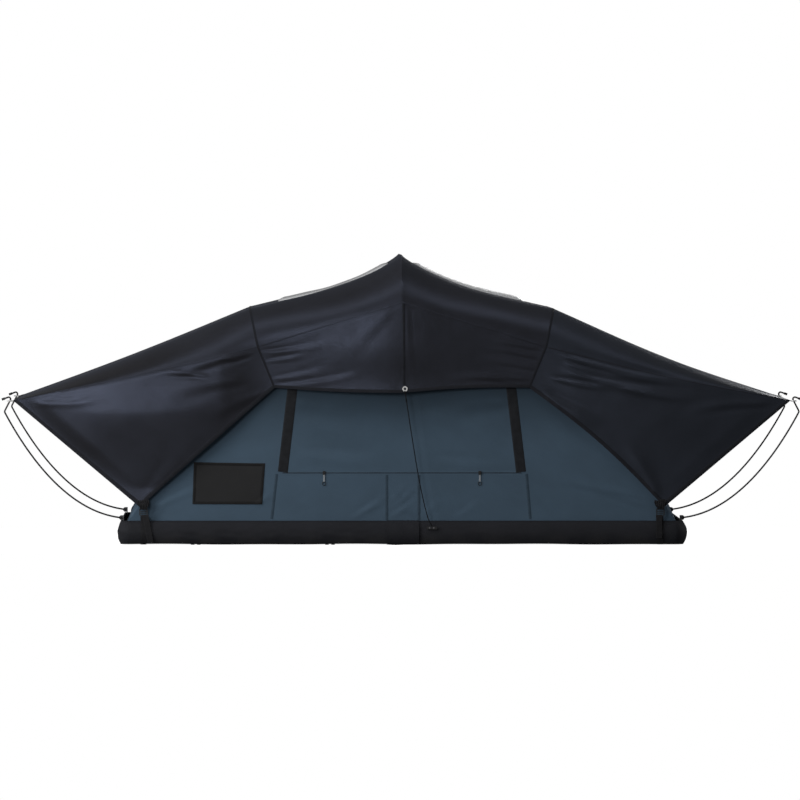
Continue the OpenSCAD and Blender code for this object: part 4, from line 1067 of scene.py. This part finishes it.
ROD_D, ROD_HOOK, ROD_SPRING = 7, 45, 220
socket = np.array([-HALF_L - 10, 113.0])
kink = np.array([GROMMET_X - 23, TIP[1] - 46])
eye = np.array([GROMMET_X, TIP[1] - 1.5])
hook = lerp(kink, eye, 1.5)


def heading(degrees):
    """A direction outwards, so far above level."""
    return np.array([-math.cos(math.radians(degrees)), math.sin(math.radians(degrees))])


rod_tip = hook + ROD_HOOK * heading(-20)


def rounded(a, b, c, r, steps):
    """Points that round the corner b of a path with radius r."""
    u, v = (a - b) / np.linalg.norm(a - b), (c - b) / np.linalg.norm(c - b)
    half = math.acos(float(u @ v)) / 2
    spin = math.pi - 2 * half
    centre = b + (u + v) / np.linalg.norm(u + v) * r / math.sin(half)
    one, two = b + u * r / math.tan(half) - centre, b + v * r / math.tan(half) - centre
    t = np.linspace(0, 1, steps)[:, None]
    return centre + (np.sin((1 - t) * spin) * one + np.sin(t * spin) * two) / math.sin(spin)


# The bent rod springs evenly from its socket to the kink
first, last = socket + ROD_SPRING * heading(6), kink - ROD_SPRING * heading(62)
t = np.linspace(0, 0.96, 48)[:, None]
arc = socket * (1 - t) ** 3 + first * 3 * t * (1 - t) ** 2 + last * 3 * t**2 * (1 - t) + kink * t**3
bends = [rounded(arc[-1], kink, eye, 10, 8), rounded(kink, hook, rod_tip, 8, 10)]
rod_line = np.concatenate([arc, *bends, [rod_tip]])
for side, word in HALVES:
    parts, y = [], ROD_Y[side]
    for s in (NEAR, FAR):
        parts.append(tube([(a * -side, s * y, b) for a, b in rod_line], ROD_D, 16))
        foot = [(socket[0] * -side, s * k, socket[1]) for k in np.linspace(y + 4, y - 26, 6)]
        parts.append(tube(foot, [6, 8, 8, 8, 8, 6.5], 16))
    piece = new_piece(word + "_sprung_rods", *join(parts), ROD)
    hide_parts(word + "_rods")
    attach(piece, word + "_rods")


# Corner straps: webbing over the skirt, through a buckle to the awning's corner


STRAP_X, STRAP_W, LOOP_Z = 1078, 25, 147
# How far out and how high the webbing runs: up to the buckle, and its tail down from it
STRAP_TOP = [(41.5, 62), (38.5, 80), (34, 100), (31.6, 121)]
STRAP_TAIL = [(33.4, 121), (36.5, 127), (39.5, 121), (42, 108),
              (45, 88), (47.4, 66), (48.2, 46), (47.4, 28)]
LONG_TAIL = STRAP_TAIL + [(45.2, 14), (43, 5)]


def strap(path, width, x, flank, slant=0.0):
    """A webbing strip that runs in Y and Z, slanting along X: a grid of points, along it and across it."""
    s, out, z = (k[:, None] for k in even_steps(path, 4, 4))
    across = np.linspace(-0.5, 0.5, 5) * width
    return np.stack(np.broadcast_arrays(x + across + slant * s / s[-1], flank * (HALF_W + out), z), -1)


for side, word in HALVES:
    x = STRAP_X * side
    strips, loops = [], []
    for s in (NEAR, FAR):
        over = [(skirt_shape(k) * 1.05 + 3.4, k) for k in np.linspace(2, 50, 12)]
        strips.append(strap(over + STRAP_TOP, STRAP_W, x, s))
        if side == LEFT:
            strips.append(strap(LONG_TAIL, 27, x + 6, s, 24))
        else:
            strips.append(strap(STRAP_TAIL, STRAP_W, x - 6, s))
        # The awning's corner, gathered into a loop round the buckle's upper bar
        for proud, top, wide in ((0, 188, 46), (6.5, 176, 38)):
            v, u = np.meshgrid(np.linspace(0, 1, 16), np.linspace(-1, 1, 21), indexing="ij")
            gather = lerp(STRAP_W, wide, smooth(v * 1.3)) / 2
            pleat = 3.4 * np.abs(np.sin(2.5 * math.pi * u + proud))
            pleat = pleat * np.sin(math.pi * np.clip(v * 0.9 + 0.1, 0, 1)) ** 0.6
            z = lerp(LOOP_Z, top, v) + 3 * np.sin(3 * u) * v
            place = x + u * gather + 2 * np.sin(5 * v + side)
            loops.append(np.stack([place, s * (HALF_W + 31 + proud + pleat), z], -1))
    for name, grids in (("_tie_webbing", strips), ("_tie_loops", loops)):
        piece = new_piece(word + name, *join([skin(g, 1.5, (x, 0, 60)) for g in grids]), WEBBING)
        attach(piece, word + "_base")
        if grids is strips:
            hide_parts(word + "_corner_straps")
        else:
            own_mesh(piece)


# Side tension cords, from the clips on the right half up to the fly's eyelets

# A rivet's radius, and its place across the tent
RIVET = [(2.8, 961.6), (5.2, 962.6), (4.2, 964.0), (1.4, 964.6)]
for side, word in FLANKS:
    low = np.array([CLIP_X, side * 958.5, 77.4])
    high = np.array([EYELET[0], side * (FLY_Y + EAVE + 2.6), EYELET[1] - 8])
    t = np.concatenate([np.linspace(0, 0.9, 26), np.linspace(0.9, 1, 9)[1:]])
    line = lerp(low, high, t[:, None])
    line[:, 0] -= 15 * np.sin(np.pi * t**0.55)
    thick = 4 + 3.2 * bump((t - 0.93) / 0.012) + 2.6 * bump((t - 0.02) / 0.012)
    piece = new_piece(word + "_tension_cord", *tube(line, thick, 12), CORD)
    if side == NEAR:
        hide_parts("tension_cords")
    folds(piece)
    # Two rivets on each clip
    parts, a = [], np.linspace(0, 2 * np.pi, 16, endpoint=False)
    for x in (CLIP_X - 8.8, CLIP_X + 8.8):
        rings = [np.stack([x + r * np.cos(a), side * y + 0 * a, CLIP_Z + r * np.sin(a)], 1) for r, y in RIVET]
        points = np.concatenate(rings)
        faces = ring_quads(len(RIVET), 16) + [list(range(16))[::-1], list(range(48, 64))]
        if side == FAR:
            faces = [f[::-1] for f in faces]
        parts.append((points, faces, points[:, [0, 2]] / 1000))
    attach(new_piece(word + "_clip_rivets", *join(parts), CAST), "right_base")


# Zip pulls: slider, grey tag and a moulded ring

PULL_Y, TAG_Y, RING_R = (918.9, 923.6), (920.0, 922.6), 7.5
for s, word in FLANKS:
    for half, place in HALVES:
        x = half * ZIP_X
        y0, y1 = sorted(s * y for y in PULL_Y)
        body = block((x - 6, y0, ZIP_Z - 8), (x + 6, y1, ZIP_Z + 8), 2.4)
        bridge = [(x, s * y, ZIP_Z + up) for y, up in ((921.5, 5), (923.4, 3), (923.4, -4), (921.8, -6.5))]
        turn = np.linspace(0, 2 * np.pi, 28, endpoint=False)
        ends = [(x + RING_R * math.cos(a), s * 921.3, ZIP_Z - 44 + RING_R * math.sin(a)) for a in turn]
        pull = join([body, tube(bridge, 2.2, 8), tube(ends, 2.4, 8, closed=True)])
        slider = new_piece(f"{word}_{place}_pull", *pull, BLACK)
        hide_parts(f"{word}_{place}_zip_slider")
        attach(slider, f"{word}_{place}_slider")
        y0, y1 = sorted(s * y for y in TAG_Y)
        tag = block((x - 3.4, y0, ZIP_Z - 37), (x + 3.4, y1, ZIP_Z - 7.5), 1.6)
        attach(new_piece(f"{word}_{place}_tag", *tag, GREY), f"{word}_{place}_slider")


# Mattress: a foam pad in each half, crowned, with rounded edges and sewn channels

PAD_L, PAD_W, PAD_GAP = 1100, 870, 2.5
PAD_FOOT, PAD_EDGE, PAD_CROWN, PAD_TOP = 75.6, 106, 26, 134.8
NOTCH_X, NOTCH_Y = 174, 738
for side, word in HALVES:
    x, y = np.meshgrid(np.linspace(-PAD_L, -PAD_GAP, 92), np.linspace(-PAD_W, PAD_W, 146), indexing="ij")
    # Distance in from the pad's outline, which leaves out the corners beside the hinges
    edge = np.minimum.reduce([x + PAD_L, 6 - PAD_GAP - x, PAD_W - np.abs(y)])
    dx, dy = x + NOTCH_X, np.abs(y) - NOTCH_Y
    corner = np.hypot(np.minimum(dx, 0), np.minimum(dy, 0))
    clear = np.where((dx > 0) & (dy > 0), -1, np.maximum(corner, np.maximum(-dx, -dy)))
    inside = np.minimum(edge, clear)
    crown = np.sqrt(np.clip(1 - (1 - np.clip(inside / 26, 0, 1)) ** 2, 0, 1))
    tufts = 2.2 * (bump((np.mod(x + 220, 275) - 137) / 9) + bump((np.mod(y + 145, 290) - 145) / 9))
    z = PAD_EDGE + PAD_CROWN * crown - tufts * crown + drift(x, y, 300, 1.0, 95 + side)
    top = np.stack([x * -side, y, np.minimum(z, PAD_TOP)], -1).reshape(-1, 3)
    under = top.copy()
    under[:, 2] = PAD_FOOT + 8 * (1 - crown.reshape(-1))
    quads = grid_quads(x.shape)
    quads = quads[(inside.reshape(-1)[quads] >= 0).all(1)]
    if side == LEFT:
        quads = quads[:, ::-1]
    body = closed_body(quads, top, under, top[:, :2] / 1000)
    pad = new_piece(word + "_mattress_pad", *body, COVER, sharp=60)
    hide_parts(word + "_mattress")
    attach(pad, word + "_base")


# Finishes of the solids that stay

for look, names in (
    (FRAME, "left_base_frame right_base_frame"),
    (PANEL, "left_deck right_deck"),
    (STEEL, "roof_rails rail_bolts left_hinge_leaves right_hinge_leaves hinge_pins ladder_brackets"),
    (HOOP, "left_bow_legs left_bow_top centre_bow_legs centre_bow_top right_bow_legs right_bow_top"),
    (CAST, "left_bow_feet centre_bow_feet right_bow_feet left_rod_sockets right_rod_sockets"),
    (BLACK, "left_corner_buckles right_corner_buckles tension_clips"),
    (RUBBER, "left_rod_caps right_rod_caps"),
    (NICKEL, "fly_eyelets"),
):
    for name in names.split():
        mesh = nodes[name].data
        mesh.materials.clear()
        mesh.materials.append(look)


# Stage and light

floor_mesh = bpy.data.meshes.new("floor")
floor_mesh.from_pydata([(x, y, -0.001) for x, y in ((-3.2, -2.4), (3.2, -2.4), (3.2, 2.4), (-3.2, 2.4))],
                       [], [(0, 1, 2, 3)])
floor = bpy.data.objects.new("floor", floor_mesh)
bpy.context.scene.collection.objects.link(floor)
floor_mesh.materials.append(Nodes("floor").finish(
    (0.9, 0.9, 0.9, 1), 0.9, Specular_IOR_Level=0.1, Emission_Color=(1, 1, 1, 1), Emission_Strength=0.9))
floor.visible_diffuse = floor.visible_glossy = False

# The backdrop is seen white, and sends less light on to the tent than it shows
world = bpy.data.worlds.new("studio")
world.use_nodes = True
tree = world.node_tree
backdrop = tree.nodes["Background"]
backdrop.inputs[0].default_value = (1, 1, 1, 1)
seen = tree.nodes.new("ShaderNodeLightPath").outputs["Is Camera Ray"]
strength = tree.nodes.new("ShaderNodeMapRange")
strength.inputs[3].default_value, strength.inputs[4].default_value = AMBIENT, 1.0
tree.links.new(seen, strength.inputs[0])
tree.links.new(strength.outputs[0], backdrop.inputs[1])
bpy.context.scene.world = world
bpy.context.scene.view_settings.view_transform = "Standard"


def softbox(name, place, aim, size, power):
    """A rectangular light, size in metres, that is aimed at a point."""
    light = bpy.data.objects.new(name, bpy.data.lights.new(name, "AREA"))
    light.data.shape = "RECTANGLE"
    light.data.size, light.data.size_y = size
    light.data.energy = power
    light.location = place
    light.rotation_mode = "QUATERNION"
    light.rotation_quaternion = (Vector(aim) - Vector(place)).to_track_quat("-Z", "Y")
    bpy.context.scene.collection.objects.link(light)


softbox("key", (-2.6, -6.9, 2.0), (0, -0.9, 0.6), (1.6, 1.4), 102)
softbox("side", (-4.0, -3.3, 1.3), (0, -0.9, 0.6), (2.0, 2.0), 70)
softbox("high", (-4.2, -3.0, 3.6), (-0.2, -0.9, 0.5), (2.2, 2.2), 50)
softbox("top", (0, -3.0, 5.5), (0, -0.9, 0.5), (5.0, 2.0), 57)
# The front doesn't show these three, which light the back and the ends
softbox("back", (2.4, 6.6, 2.6), (0, 0.9, 0.6), (3.0, 2.2), 110)
softbox("right_end", (5.6, 0.9, 1.9), (0.6, 0, 0.5), (2.4, 2.0), 60)
softbox("left_end", (-5.6, 1.2, 1.9), (-0.6, 0, 0.5), (2.4, 2.0), 40)
